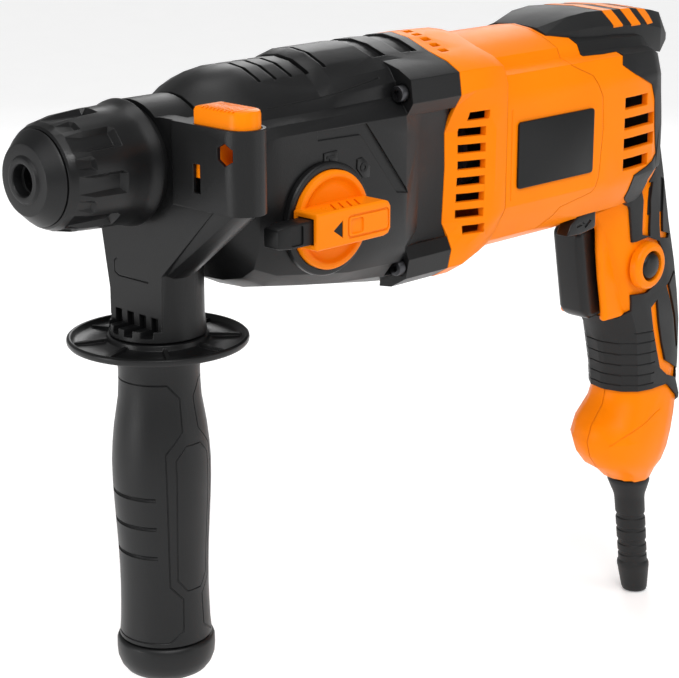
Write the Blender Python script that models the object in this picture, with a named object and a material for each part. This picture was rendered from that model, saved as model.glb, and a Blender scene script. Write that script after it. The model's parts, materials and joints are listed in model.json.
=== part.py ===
"""Corded SDS-plus rotary hammer with a side handle.

Stations along X are millimetres behind the flat nose face, with the spindle on
Y = Z = 0 and the grip hanging towards -Z. Everything is then shifted so that
the origin lies where the end of a seated tool shank rests.
"""

import math

import bmesh
import bpy
from mathutils import Vector

MM = 0.001
GAP = 0.3
SHANK_SEAT = 46.0

SHANK_BORE_R = 5.05
TUBE_R = 16.0
CYLINDER_BORE_R = 12.3
COLLAR_R = 19.2
SLEEVE_FLANGE_R = 23.2
SLEEVE_END = 44.6
PAD_FLOOR_R = 19.1

MOTOR_Z = -16.5
COUNTER_Z = -36.2
PINION_R = 4.0
COUNTER_GEAR_R = 15.2
COUNTER_PINION_R = 9.6
SPINDLE_GEAR_R = 26.1
WALL = 3.2

HANDLE_X = 59.0
PLATE_X = 48.6
NECK_R = 18.0
BOSS = (55.6, -52.0)
BOSS_R = 8.2
HEX_ACROSS = 7.2
HEX_Z = 9.4

DIAL = (111.0, -25.5)
DIAL_R = 18.8
LOCK_BUTTON = (337.0, -87.5)
BOOT_TOP = (359.2, -203.0)
BOOT_END = (368.5, -266.0)

JOINT_X = 185.0
RING_END = 215.0
SEAM = [(259.7, 60), (259.7, 15.2), (272.5, 9.6), (278.3, 0.4), (279.3, -14), (277.2, -34.6),
        (274, -41), (255.2, -44.9), (253.8, -48.6), (247, -54), (240, -90)]

GEAR_SECTIONS = [
    (68.0, [(0, 22.8), (6, 22), (11.9, 19.4), (16.5, 15.7), (19.7, 11.4), (21.2, 8.4),
            (22.3, 4.6), (22.8, 0), (22.2, -5), (20.6, -9.8), (17.8, -14.2), (14.2, -17.8),
            (9.8, -20.6), (5, -22.2), (0, -22.8)]),
    (74.0, [(0, 26.4), (7, 25.4), (13.8, 22.4), (19.4, 18), (23.2, 13.8), (25.2, 11),
            (27.4, 8), (28.4, 4), (28.4, -2), (28, -14), (26.8, -24), (24, -30.5),
            (18.6, -35), (10, -37.4), (0, -38)]),
    (81.0, [(0, 29), (7.6, 28), (15.2, 24.6), (21.4, 19.6), (25.6, 15.2), (27.4, 12.8),
            (31.4, 10.4), (33, 6), (33.2, -2), (33.2, -18), (32.4, -33), (29.4, -41),
            (22.6, -45.6), (12, -48.2), (0, -48.8)]),
    (90.0, [(0, 30.3), (8, 29.2), (16, 25.6), (22.5, 20.2), (26.5, 15.5), (28, 13.2),
            (33, 11.4), (35.4, 7.8), (35.8, 0), (35.8, -20), (35.4, -37), (32, -44.6),
            (25.4, -49.8), (13.6, -52.4), (0, -53.2)]),
    (120.0, [(0, 30.4), (8, 29.3), (16, 25.8), (22.5, 20.5), (26.5, 15.8), (28, 13.2),
             (33, 11.4), (35.6, 7.8), (36, 0), (36, -20), (36, -42), (32.8, -49),
             (25.6, -54.6), (13.6, -57.4), (0, -58.2)]),
    (127.0, [(0, 32.8), (8.6, 31.7), (17, 28), (23.8, 22.6), (27.2, 17.4), (28, 13.2),
             (33, 11.4), (35.6, 7.8), (36, 0), (36, -20), (36, -43), (32.8, -50),
             (25.6, -55.6), (13.6, -58.4), (0, -59.2)]),
    (156.0, [(0, 33), (9, 31.8), (18, 28.8), (25, 24.5), (28.5, 19.5), (29, 14), (33, 11),
             (35.6, 7.4), (36, 0), (36, -20), (35.6, -43.5), (32.6, -50.4), (27, -57.6),
             (14.4, -62.6), (0, -63.4)]),
    (170.0, [(0, 33.1), (9, 31.9), (19, 28.4), (27, 24.2), (31, 18.8), (31.5, 13), (32, 9.6),
             (31, 6), (29.8, -3), (29.6, -19), (28.8, -41), (30, -46.6), (28, -58.6),
             (14.4, -64.4), (0, -65.2)]),
    (JOINT_X, [(0, 33.3), (9, 31.9), (20.5, 27.5), (31, 24), (34, 18), (33.5, 12),
               (33, 8.2), (31.6, 4.8), (29.2, -4), (29.6, -18), (28.4, -41), (31, -46.4),
               (28.6, -59.6), (15, -65.6), (0, -66.6)]),
]
SCREW_PLACES = (("upper", 32.8, 15.6, 157), ("lower", 29.4, -54.4, 160))
UPPER_LUG = [(22, 26.8), (30, 24.6), (36.8, 21), (38.1, 12), (34.8, 6.8), (26, 7)]
LOWER_LUG = [(20, -45.6), (31.5, -45.9), (34, -51), (32.2, -59), (24.4, -63.6), (18, -64.4)]
RING_SECTIONS = [
    (JOINT_X + GAP, [(0, 33.3), (9, 31.9), (20.5, 27.5), (30, 24.8), (36.8, 21), (38.1, 12),
                     (34.8, 6.8), (32.2, 2), (29.2, -4), (29.6, -18), (28.4, -41),
                     (31.8, -46), (34, -51.2), (32.2, -59), (24, -64), (0, -66.6)]),
    (194.0, [(0, 33.3), (9, 31.9), (20.5, 27.6), (30, 25), (36.9, 21.2), (38.6, 13),
             (37.2, 7), (35.4, 2), (33.2, -4), (33.4, -18), (32.4, -41), (33, -46),
             (34, -51.2), (32.2, -59), (24, -64), (0, -66.2)]),
    (207.0, [(0, 33), (9, 31.6), (20.5, 27.4), (30, 24.6), (36.6, 21), (38.4, 13), (38.2, 7),
             (38, 2), (37.8, -4), (37.8, -18), (37.4, -39), (36, -44), (33.6, -50),
             (29.5, -56.4), (20, -61.4), (0, -63.4)]),
    (RING_END, [(0, 31.6), (8.6, 30.4), (19.5, 26.2), (28.4, 23.4), (34.4, 19.8),
                (36.8, 12.4), (36.8, 7), (36.8, 2), (36.8, -4), (36.8, -18), (36.6, -38.4),
                (34.6, -42.6), (32.4, -47.6), (27.6, -54.6), (18, -60.4), (0, -62)]),
]
MOTOR_SECTION = [(0, 29.5), (9, 28.4), (18, 25.6), (25.5, 21.8), (27.5, 17.6), (33.5, 15.6),
                 (35.6, 9.2), (36.6, 6), (36.6, -20), (36.6, -38.5), (34.6, -42.4),
                 (32.6, -46), (27, -54), (14, -60.4), (0, -61.5)]
HEAD_STATIONS = [(236, 1, 1, 0), (286, 1, 1, 0), (302, 0.985, 0.99, 0), (319, 0.935, 0.965, 0),
                 (331, 0.8, 0.91, -0.5), (339, 0.64, 0.83, -1.5), (344, 0.46, 0.7, -3)]
COLUMN = [(-22, 320, 23.5, 25.5, 16), (-45, 326.2, 27.2, 23.2, 17), (-70, 336.9, 25.9, 20.3, 16),
          (-90, 343.8, 26.3, 19.2, 16), (-106, 349, 25.8, 18.2, 15.5),
          (-122, 355.6, 23.5, 16.7, 14.8), (-143, 358.7, 22.3, 15.5, 14),
          (-153, 359, 21.7, 15.4, 14), (-160, 359, 23.4, 17, 15.5), (-169, 353.6, 26.2, 19.1, 17.8),
          (-177, 350.9, 26.4, 20, 18.6), (-185, 351.4, 24.2, 19.2, 18.2), (-192, 353, 20, 17.5, 17),
          (-197, 355.8, 14.6, 14, 13.6), (-202.5, 358.2, 11, 10.8, 10.4)]
PAD_STATIONS = [(262.5, 17, 29.4, 26.5, 24), (279, 22, 33, 27.2, 22), (291, 23, 34, 27.6, 19),
                (325, 22, 32.6, 25.6, 15), (342, 19.6, 30.2, 22, 11), (352.5, 15, 28, 18, 9),
                (356, 11, 25.4, 18, 12)]
COVER_OUTLINE = [(293, -113.5), (329, -113.5), (332.5, -109.5), (330.5, -101.5), (340, -101.8),
                 (347, -98.5), (351, -91.5), (350.8, -84), (346, -77.5), (337, -74), (326, -75),
                 (324.3, -69), (320, -57), (309, -50.8), (305, -44), (314.5, -35), (326, -31.8),
                 (331, -22), (380, -22), (420, -60), (420, -152), (384, -170), (379, -166),
                 (364, -152.5), (293, -152.5)]
INLAYS = [[(325.5, -47.5), (329.4, -55.3), (330.2, -61.2), (332.2, -72.3), (338.5, -73.9),
           (336.6, -62.3), (335.1, -56.1), (334.8, -47)],
          [(342.4, -46), (343.4, -63.2), (346.6, -76), (355, -77.8), (356.2, -75.8),
           (348.8, -73.5), (347.6, -64), (346.6, -48)],
          [(349.4, -106.6), (344.9, -110.1), (348.8, -121), (353.5, -133.1), (357.7, -143.1),
           (363.6, -147.8), (374, -152), (376, -148), (361.8, -140.1), (357.6, -130.7),
           (352.3, -116.1)],
          [(362.6, -95), (355.4, -101), (365.2, -118.6), (371.4, -136), (373.4, -135.4),
           (367.4, -117.8), (358, -101.2), (364.2, -96.2)]]


def material(name, colour, roughness, metallic=0.0):
    """A Principled material, made once per name."""
    found = bpy.data.materials.get(name)
    if found:
        return found
    made = bpy.data.materials.new(name)
    made.use_nodes = True
    shader = made.node_tree.nodes["Principled BSDF"]
    shader.inputs["Base Color"].default_value = (*colour, 1.0)
    shader.inputs["Roughness"].default_value = roughness
    shader.inputs["Metallic"].default_value = metallic
    made.diffuse_color = (*colour, 1.0)
    return made


def black_nylon():
    return material("black_nylon", (0.021, 0.022, 0.024), 0.42)


def orange_nylon():
    return material("orange_nylon", (0.95, 0.25, 0.015), 0.36)


def black_rubber():
    return material("black_rubber", (0.017, 0.018, 0.02), 0.62)


def gloss_black():
    return material("gloss_black", (0.012, 0.012, 0.013), 0.22)


def steel():
    return material("steel", (0.55, 0.55, 0.56), 0.3, 1.0)


def dark_steel():
    return material("dark_steel", (0.12, 0.12, 0.13), 0.38, 1.0)


def aluminium():
    return material("aluminium", (0.68, 0.69, 0.7), 0.42, 1.0)


def copper():
    return material("copper", (0.78, 0.36, 0.18), 0.33, 1.0)


def carbon():
    return material("carbon", (0.03, 0.03, 0.035), 0.55)


def add_mesh(name, verts, faces, surface, origin=(0, 0, 0)):
    """A closed mesh from millimetre points, its origin at the given point."""
    bm = bmesh.new()
    shift = Vector(origin)
    made = [bm.verts.new((Vector(v) - shift) * MM) for v in verts]
    for face in faces:
        bm.faces.new([made[i] for i in face])
    bmesh.ops.recalc_face_normals(bm, faces=bm.faces)
    mesh = bpy.data.meshes.new(name)
    bm.to_mesh(mesh)
    bm.free()
    mesh.materials.append(surface)
    mesh.polygons.foreach_set("use_smooth", [True] * len(mesh.polygons))
    mesh.set_sharp_from_angle(angle=math.radians(32))
    obj = bpy.data.objects.new(name, mesh)
    obj.location = (shift - Vector((SHANK_SEAT, 0, 0))) * MM
    bpy.context.scene.collection.objects.link(obj)
    return obj


def placed(axis, along, a, b):
    """A point from its place along an axis and two coordinates across it."""
    return {"X": (along, a, b), "Y": (a, along, b), "Z": (a, b, along)}[axis]


def lathe(name, surface, profile, axis="X", centre=(0, 0), steps=32, origin=None):
    """A turned solid. A profile with no point on the axis closes into a ring."""
    verts = []
    rings = []
    for along, radius in profile:
        if radius < 1e-6:
            rings.append([len(verts)] * steps)
            verts.append(placed(axis, along, *centre))
            continue
        ring = []
        for i in range(steps):
            angle = 2 * math.pi * i / steps
            ring.append(len(verts))
            verts.append(placed(axis, along, centre[0] + radius * math.cos(angle),
                                centre[1] + radius * math.sin(angle)))
        rings.append(ring)
    if all(radius > 1e-6 for _, radius in profile):
        rings.append(rings[0])
    faces = []
    for first, second in zip(rings, rings[1:]):
        for i in range(steps):
            j = (i + 1) % steps
            corners = [first[i], first[j], second[j], second[i]]
            corners = [c for k, c in enumerate(corners) if c not in corners[:k]]
            if len(corners) > 2:
                faces.append(corners)
    origin = origin or placed(axis, 0.5 * (profile[0][0] + profile[-1][0]), *centre)
    return add_mesh(name, verts, faces, surface, origin)


def loft(name, surface, sections, origin=(0, 0, 0)):
    """A closed skin through loops of the same number of points."""
    count = len(sections[0])
    verts = [point for section in sections for point in section]
    faces = [list(range(count)), list(range(len(verts) - count, len(verts)))]
    for s in range(len(sections) - 1):
        for i in range(count):
            j = (i + 1) % count
            a, b = s * count, (s + 1) * count
            faces.append([a + i, a + j, b + j, b + i])
    return add_mesh(name, verts, faces, surface, origin)


def prism(name, surface, outline, axis, start, end, origin=(0, 0, 0)):
    """An outline pushed along an axis."""
    return loft(name, surface, [[placed(axis, d, *p) for p in outline] for d in (start, end)],
                origin)


def box(name, surface, low, high, origin=None):
    """A plain block between two corners."""
    outline = [(low[1], low[2]), (high[1], low[2]), (high[1], high[2]), (low[1], high[2])]
    middle = tuple(0.5 * (a + b) for a, b in zip(low, high))
    return prism(name, surface, outline, "X", low[0], high[0], origin or middle)


def soften(obj, width, segments=2, angle=35):
    """A live bevel on the sharper edges."""
    bevel = obj.modifiers.new("edges", "BEVEL")
    bevel.width = width * MM
    bevel.segments = segments
    bevel.limit_method = "ANGLE"
    bevel.angle_limit = math.radians(angle)
    bevel.use_clamp_overlap = True
    return obj


def combine(obj, other, operation):
    """A live Boolean whose second shape stays hidden."""
    other.hide_render = True
    other.display_type = "WIRE"
    boolean = obj.modifiers.new(other.name, "BOOLEAN")
    boolean.object = other
    boolean.operation = operation
    boolean.solver = "EXACT"
    return obj


def cut(obj, *others):
    for other in others:
        combine(obj, other, "DIFFERENCE")
    return obj


def unite(obj, *others):
    for other in others:
        combine(obj, other, "UNION")
    return obj


def joined(name, surface, parts):
    """Separate closed shapes in one mesh, for use as one cutter."""
    bm = bmesh.new()
    for part in parts:
        part.data.transform(part.matrix_basis)
        bm.from_mesh(part.data)
        bpy.data.objects.remove(part)
    mesh = bpy.data.meshes.new(name)
    bm.to_mesh(mesh)
    bm.free()
    mesh.materials.append(surface)
    obj = bpy.data.objects.new(name, mesh)
    bpy.context.scene.collection.objects.link(obj)
    return obj


def whole(half):
    """A half outline, listed top to bottom on +Y, closed with its mirror."""
    return half + [(-y, z) for y, z in reversed(half[1:-1])]


def thinner(half, inset):
    """A half outline moved inwards by a wall."""
    top, bottom, side = half[0][1], half[-1][1], max(y for y, _ in half)
    middle = 0.5 * (top + bottom)
    across = (side - inset) / side
    upright = (top - bottom - 2 * inset) / (top - bottom)
    return [(y * across, middle + (z - middle) * upright) for y, z in half]


def shell_section(x, half, inset=0.0):
    return [(x, y, z) for y, z in whole(thinner(half, inset) if inset else half)]


def rounded(cx, cy, a, b, r, per_corner=4):
    """A rounded rectangle, counted round from +X +Y."""
    points = []
    for k, (sx, sy) in enumerate(((1, 1), (-1, 1), (-1, -1), (1, -1))):
        for i in range(per_corner):
            angle = math.pi / 2 * (k + i / (per_corner - 1))
            points.append((cx + sx * (a - r) + r * math.cos(angle),
                           cy + sy * (b - r) + r * math.sin(angle)))
    return points


def column_sections(rows, grow=0.0):
    """Rounded loops down the grip, grown or shrunk by a wall."""
    return [[(x, y, z) for x, y in rounded(cx, 0, a + grow, b + grow, max(r + grow, 2))]
            for z, cx, a, b, r in rows]


def build_dust_cap():
    profile = [(0.6, 5.3), (0, 6), (0, 8), (1, 8.8), (1, 12.5), (2, 13.9), (6, 17.1),
               (6.8, 17), (6.8, 14), (13.2, 14), (13.2, 12), (7.7, 12), (7.7, 5.3)]
    lathe("dust_cap", black_rubber(), profile, steps=32, origin=(SHANK_SEAT, 0, 0))


def build_tool_holder():
    profile = [(8, SHANK_BORE_R), (8, 11.6), (46.5, 11.6), (50, TUBE_R), (150, TUBE_R),
               (150, CYLINDER_BORE_R), (84, CYLINDER_BORE_R), (84, 7.4), (SHANK_SEAT + 6, 7.4),
               (SHANK_SEAT + 6, SHANK_BORE_R)]
    holder = lathe("tool_holder", steel(), profile, steps=28, origin=(SHANK_SEAT, 0, 0))
    slot = box("ball_slots", steel(), (25, -2.6, -14), (33, 2.6, 14))
    cut(holder, slot)


def build_locking_balls():
    for side, name in ((1, "upper"), (-1, "lower")):
        arc = [(29 - 2.4 * math.cos(math.pi * i / 6), 2.4 * math.sin(math.pi * i / 6))
               for i in range(7)]
        arc = [(x, 0 if i in (0, 6) else r) for i, (x, r) in enumerate(arc)]
        lathe(f"locking_ball_{name}", dark_steel(), arc, centre=(0, side * 8.6), steps=10,
              origin=(29, 0, side * 8.6))


def pad_floor(x, step, radius):
    """The sleeve's radius where a long or a short finger pad is sunk into it."""
    place = step % 12
    if place in (1, 2, 3, 4, 5) and 10 < x < 29:
        return PAD_FLOOR_R
    if place in (8, 9, 10) and 10 < x < 17:
        return PAD_FLOOR_R
    return radius


def build_locking_sleeve():
    outside = [(7.1, 17.4), (7.7, 18.1), (9.8, 19), (10.2, 19.3), (16.2, 20.5), (17.4, 20.7),
               (28, 21.4), (29.8, 21.5), (34, 21.5), (39, 21.7), (41.4, 22.2), (43, 22.9),
               (SLEEVE_END, SLEEVE_FLANGE_R)]
    inside = [(SLEEVE_END, 21.6), (38, 19.4), (20, 17), (18.5, 12), (14.2, 12), (14.2, 14.4),
              (7.1, 14.4)]
    steps = 96
    verts = []
    for x, outer in outside:
        for i in range(steps):
            angle = 2 * math.pi * (i - 2) / steps
            radius = pad_floor(x, i, outer)
            verts.append((x, radius * math.cos(angle), radius * math.sin(angle)))
    for x, radius in inside:
        for i in range(steps):
            angle = 2 * math.pi * (i - 2) / steps
            verts.append((x, radius * math.cos(angle), radius * math.sin(angle)))
    rows = len(outside) + len(inside)
    faces = []
    for s in range(rows):
        for i in range(steps):
            j = (i + 1) % steps
            a, b = s * steps, (s + 1) % rows * steps
            faces.append([a + i, a + j, b + j, b + i])
    add_mesh("locking_sleeve", verts, faces, black_nylon(), (SLEEVE_END, 0, 0))


def build_sleeve_spring():
    """A coil behind the sleeve's front lip."""
    turns, per_turn, sides, wire, radius = 4, 12, 4, 0.7, 13.6
    start, pitch = 25.2, 3.0
    count = turns * per_turn + 1
    sections = []
    for i in range(count):
        angle = 2 * math.pi * i / per_turn
        x = start + pitch * i / per_turn
        loop = []
        for k in range(sides):
            turn = 2 * math.pi * k / sides
            r = radius + wire * math.cos(turn)
            loop.append((x + wire * math.sin(turn), r * math.cos(angle), r * math.sin(angle)))
        sections.append(loop)
    loft("sleeve_spring", dark_steel(), sections, (SHANK_SEAT, 0, 0))


def build_hammer_train():
    """Impact bolt, striker and piston, in line inside the tube."""
    bolt = [(SHANK_SEAT, 0), (SHANK_SEAT, 4.7), (SHANK_SEAT + 6.3, 4.7), (SHANK_SEAT + 6.3, 7.1),
            (76, 7.1), (78, 6.2), (78, 4.6), (92, 4.6), (92, 0)]
    lathe("impact_bolt", steel(), bolt, steps=24, origin=(SHANK_SEAT, 0, 0))
    striker = [(98.5, 0), (98.5, 6), (101, 7), (101, 12), (120, 12), (120, 0)]
    lathe("striker", steel(), striker, steps=24, origin=(98.5, 0, 0))
    piston = [(126, 0), (126, 12), (145, 12), (145, 6), (157, 6), (157, 0)]
    lathe("piston", aluminium(), piston, steps=24, origin=(126, 0, 0))


def gear_profile(radius, teeth, depth):
    """A toothed outline with straight flanks."""
    points = []
    for i in range(teeth):
        for part, r in ((0.0, radius - depth), (0.28, radius), (0.5, radius), (0.78, radius - depth)):
            angle = 2 * math.pi * (i + part) / teeth
            points.append((r * math.cos(angle), r * math.sin(angle)))
    return points


def build_spindle_gear():
    outline = gear_profile(SPINDLE_GEAR_R, 24, 1.4)
    gear = prism("spindle_gear", dark_steel(), outline, "X", 121, 131, (SHANK_SEAT, 0, 0))
    bore = lathe("spindle_gear_bore", dark_steel(), [(119, 0), (119, TUBE_R + GAP),
                                                     (133, TUBE_R + GAP), (133, 0)], steps=36)
    cut(gear, bore)


def build_counter_shaft():
    """Counter shaft with its pinion, the wobble bearing and the big gear."""
    z = COUNTER_Z
    profile = [(96, 0), (96, 4.5), (119, 4.5), (119, COUNTER_PINION_R - 0.6),
               (133, COUNTER_PINION_R - 0.6), (133, 6), (158.8, 6), (158.8, 5), (170.5, 5),
               (170.5, 0)]
    lathe("counter_shaft", steel(), profile, centre=(0, z), steps=24, origin=(SHANK_SEAT, 0, z))
    outline = [(y, w + z) for y, w in gear_profile(COUNTER_GEAR_R, 18, 1.2)]
    gear = prism("counter_gear", dark_steel(), outline, "X", 160, 168, (SHANK_SEAT, 0, z))
    bore = lathe("counter_gear_bore", dark_steel(), [(158, 0), (158, 5 + GAP), (170, 5 + GAP),
                                                     (170, 0)], centre=(0, z), steps=24)
    cut(gear, bore)
    ring = lathe("wobble_bearing", dark_steel(), [(145, 6.4), (145, 13.2), (157.5, 13.2),
                                                  (157.5, 6.4)],
                 centre=(0, z), steps=28, origin=(151, 0, z))
    pin = lathe("wobble_pin", dark_steel(), [(z + 11, 0), (z + 11, 2.6), (-7, 2.6), (-7, 0)],
                axis="Z", centre=(153.8, 0), steps=16)
    unite(ring, pin)


def build_motor():
    """Armature with pinion, fan and commutator, and the stator round it."""
    z = MOTOR_Z
    shaft = [(158.5, 0), (158.5, PINION_R), (171, PINION_R), (171, 4.6), (296, 4.6), (296, 0)]
    lathe("armature_shaft", steel(), shaft, centre=(0, z), steps=20, origin=(SHANK_SEAT, 0, z))
    rings = (("armature_core", dark_steel(), 224, 260, 18.4, 28),
             ("commutator", copper(), 270, 284, 11, 24))
    for name, surface, start, end, radius, steps in rings:
        profile = [(start, 4.9), (start, radius), (end, radius), (end, 4.9)]
        lathe(name, surface, profile, centre=(0, z), steps=steps, origin=(SHANK_SEAT, 0, z))
    fan = lathe("cooling_fan", carbon(), [(198, 4.9), (198, 9), (204, 9), (204, 23.4), (206.5, 23.4),
                                          (206.5, 4.9)], centre=(0, z), steps=32,
                origin=(SHANK_SEAT, 0, z))
    blades = []
    for i in range(8):
        angle = math.pi / 4 * i
        along = Vector((0, math.cos(angle), math.sin(angle)))
        across = Vector((0, -math.sin(angle), math.cos(angle))) * 0.7
        loops = []
        for x in (198.5, 205):
            corners = (along * 8 - across, along * 22.5 - across, along * 22.5 + across,
                       along * 8 + across)
            loops.append([(x, c.y, c.z + z) for c in corners])
        blades.append(loft(f"blade_{i}", carbon(), loops))
    unite(fan, joined("fan_blades", carbon(), blades))
    stator = [(224, 19.6), (224, 27.5), (260, 27.5), (260, 19.6)]
    lathe("stator", dark_steel(), stator, centre=(0, z), steps=32, origin=(SHANK_SEAT, 0, z))
    for name, start, outer in (("front_bearing", 174, 10.6), ("rear_bearing", 288, 9)):
        profile = [(start, 4.9), (start, outer), (start + 7, outer), (start + 7, 4.9)]
        lathe(name, steel(), profile, centre=(0, z), steps=24, origin=(start, 0, z))


def build_brushes():
    for side, name in ((-1, "left"), (1, "right")):
        low, high = sorted((side * 11.4, side * 19))
        box(f"brush_{name}", carbon(), (273, low, MOTOR_Z - 3), (281, high, MOTOR_Z + 3))
        low, high = sorted((side * 13.5, side * 24))
        holder = box(f"brush_holder_{name}", copper(), (271.5, low, MOTOR_Z - 4.5),
                     (282.5, high, MOTOR_Z + 4.5))
        low, high = sorted((side * 10, side * 22))
        cut(holder, box(f"brush_way_{name}", copper(), (272.7, low, MOTOR_Z - 3.3),
                        (281.3, high, MOTOR_Z + 3.3)))


def build_gear_housing():
    surface = black_nylon()
    housing = loft("gear_housing", surface, [shell_section(x, half) for x, half in GEAR_SECTIONS])
    collar = lathe("collar", surface, [(46.8, 0), (46.8, 20.6), (48.6, 20.6), (48.6, COLLAR_R),
                                       (67.2, COLLAR_R), (67.2, 21.4), (70, 21.4), (70, 0)],
                   steps=40)
    lugs = []
    for side in (1, -1):
        for start, outline in ((157, UPPER_LUG), (160, LOWER_LUG)):
            mirrored = [(side * y, z) for y, z in outline]
            lugs.append(prism(f"lug_{start}_{side}", surface, mirrored, "X", start, 184.9))
    unite(housing, collar, joined("lugs", surface, lugs))
    inner = [shell_section(x, half, WALL) for x, half in GEAR_SECTIONS[2:]]
    inner[-1] = [(JOINT_X + 1, y, z) for _, y, z in inner[-1]]
    inner = inner[:1] + inner
    inner[0] = [(77.5, 0.82 * y, 0.82 * z) for _, y, z in inner[0]]
    bore = [(40, 0), (40, TUBE_R + 0.5), (82, TUBE_R + 0.5), (82, 0)]
    cut(housing, loft("gear_cavity", surface, inner), lathe("spindle_bore", surface, bore, steps=40))
    pockets = [lathe(f"pocket_{x}_{side}", surface, [(x - 7, 0), (x - 7, 3.7), (x + 0.2, 3.7),
                                                     (x + 0.2, 0)], centre=(side * y, z), steps=14)
               for side in (1, -1) for _, y, z, x in SCREW_PLACES]
    cut(housing, joined("screw_pockets", surface, pockets))
    grooves = []
    for i in range(5):
        radius = 31.6 if i == 4 else 29.2
        grooves.append(arc_bar(f"groove_{i}", 95.6 + 8.1 * i, 1.8, radius, 56, 124))
    for i, width in enumerate((7.5, 9.5)):
        grooves.append(arc_bar(f"wide_groove_{i}", 154 + 16.2 * i, width, 32, 56, 124))
    cut(housing, joined("top_grooves", surface, grooves))


def arc_bar(name, x, width, radius, start, end):
    """A bar bent round the barrel's top, from a start angle to an end one."""
    sections = []
    for i in range(9):
        angle = math.radians(start + (end - start) * i / 8)
        across = Vector((0, -math.cos(angle), math.sin(angle)))
        sections.append([(x + dx, across.y * r, across.z * r) for dx, r in
                         ((0, radius), (width, radius), (width, radius + 5), (0, radius + 5))])
    return loft(name, black_nylon(), sections)


def build_inner_flange():
    """The bulkhead between gears and motor, with its bearing seat."""
    half = thinner(GEAR_SECTIONS[-2][1], WALL + 1.2)
    flange = loft("inner_flange", aluminium(), [shell_section(x, half) for x in (173, 182)])
    cuts = [lathe("bearing_seat", aluminium(), [(173.7, 0), (173.7, 11), (184, 11), (184, 0)],
                  centre=(0, MOTOR_Z), steps=28),
            lathe("shaft_hole", aluminium(), [(170, 0), (170, 6), (175, 6), (175, 0)],
                  centre=(0, MOTOR_Z), steps=24)]
    cut(flange, *cuts)


def build_vent_ring():
    surface = orange_nylon()
    ring = loft("vent_ring", surface, [shell_section(x, half) for x, half in RING_SECTIONS])
    inner = [shell_section(x, half, WALL) for x, half in RING_SECTIONS]
    inner[0] = [(JOINT_X - 1, y, z) for _, y, z in inner[0]]
    inner[-1] = [(RING_END + 1, y, z) for _, y, z in inner[-1]]
    slots = []
    for side in (1, -1):
        for i in range(8):
            z = 4.0 - 6.7 * i
            low, high = sorted((side * 20, side * 45))
            start, end = (193, 203.5) if i in (0, 7) else (190.5, 202.5)
            slots.append(box(f"slot_{side}_{i}", surface, (start, low, z - 3.6), (end, high, z)))
        for i in range(5):
            y = side * (2.4 + 4.8 * i)
            slots.append(box(f"top_slot_{side}_{i}", surface, (190, y - 1.3, 20), (194.6, y + 1.3, 40)))
    cut(ring, loft("ring_cavity", surface, inner), joined("ring_slots", surface, slots))


def seam_prism(name, rear, clearance):
    """The space on one side of the stepped seam between motor and handle."""
    edge = [(x + clearance, z) for x, z in SEAM]
    far = 500 if rear else 150
    return prism(name, orange_nylon(), edge + [(far, -90), (far, 60)], "Y", -60, 60)


def build_motor_housing():
    surface = orange_nylon()
    stations = (RING_END + GAP, 292)
    housing = loft("motor_housing", surface, [shell_section(x, MOTOR_SECTION) for x in stations])
    inner = [shell_section(x, MOTOR_SECTION, WALL) for x in (RING_END - 1, 300)]
    cut(housing, loft("motor_cavity", surface, inner), seam_prism("motor_seam", True, 0))


def build_label_plate():
    outline = rounded(245, -17, 23.5, 14, 2.5, 3)
    prism("label_plate", gloss_black(), outline, "Y", -37.7, -36.6 - GAP, (245, -37, -17))


def head_sections(inset):
    """Loops along X through the head of the handle shells."""
    sections = []
    for x, wide, high, drop in HEAD_STATIONS:
        half = thinner(MOTOR_SECTION, inset) if inset else MOTOR_SECTION
        sections.append([(x, y * wide, MOTOR_Z + (z - MOTOR_Z) * high + drop)
                         for y, z in whole(half)])
    if inset:
        sections = [[(x - 3.5 if x > 340 else x, y, z) for x, y, z in loop] for loop in sections]
    return sections


def pad_sections(gap):
    """Loops along X of the rear top pad, grown by a gap."""
    sections = []
    for i, (x, w, top, edge, bottom) in enumerate(PAD_STATIONS):
        if gap and i in (0, len(PAD_STATIONS) - 1):
            x += gap if i else -gap
        half = [(0, top + gap), (0.7 * w, top - 0.8 + gap), (w + gap, edge), (w + gap, bottom - gap),
                (0, bottom - gap)]
        sections.append([(x, y, z) for y, z in whole(half)])
    return sections


def side_vents(side):
    """Four slots whose rear ends follow a rounded front."""
    slots = []
    for i, end in enumerate((313, 319, 319.5, 315)):
        z = -2.5 - 9 * i
        low, high = sorted((side * 20, side * 50))
        slots.append(box(f"vent_{side}_{i}", orange_nylon(), (295, low, z - 5.2), (end, high, z)))
    return joined(f"vents_{side}", orange_nylon(), slots)


def build_handle_shell(name, side):
    """One half of the handle, hollow, with its vents, button hole and trigger opening."""
    surface = orange_nylon()
    low, high = sorted((side * 0.15, side * 80))
    shell = box(name, surface, (200, low, -260), (420, high, 60), (SHANK_SEAT, 0, 0))
    outer = loft(f"{name}_head", surface, head_sections(0))
    unite(outer, loft(f"{name}_column", surface, column_sections(COLUMN)))
    inner = loft(f"{name}_head_inside", surface, head_sections(WALL))
    rows = [COLUMN[0][:1] + COLUMN[0][1:]] + COLUMN[1:-1] + [(-215,) + COLUMN[-1][1:]]
    unite(inner, loft(f"{name}_column_inside", surface, column_sections(rows, -WALL)))
    combine(shell, outer, "INTERSECT")
    hole = lathe(f"{name}_hole", surface, [(side * 10, 0), (side * 10, 6.9), (side * 60, 6.9),
                                           (side * 60, 0)], axis="Y", centre=LOCK_BUTTON, steps=24)
    mouth = prism(f"{name}_mouth", surface, [(290, -66), (327, -66), (332.5, -112.4), (290, -112.4)],
                  "Y", -9.6, 9.6)
    low, high = sorted((side * 0.1, side * 50))
    lever_way = box(f"{name}_lever_way", surface, (275, low, -62.6), (303, high, -53.4))
    cut(shell, inner, seam_prism(f"{name}_seam", False, GAP), side_vents(side), hole, mouth,
        lever_way, loft(f"{name}_pad_seat", surface, pad_sections(GAP)))


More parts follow.
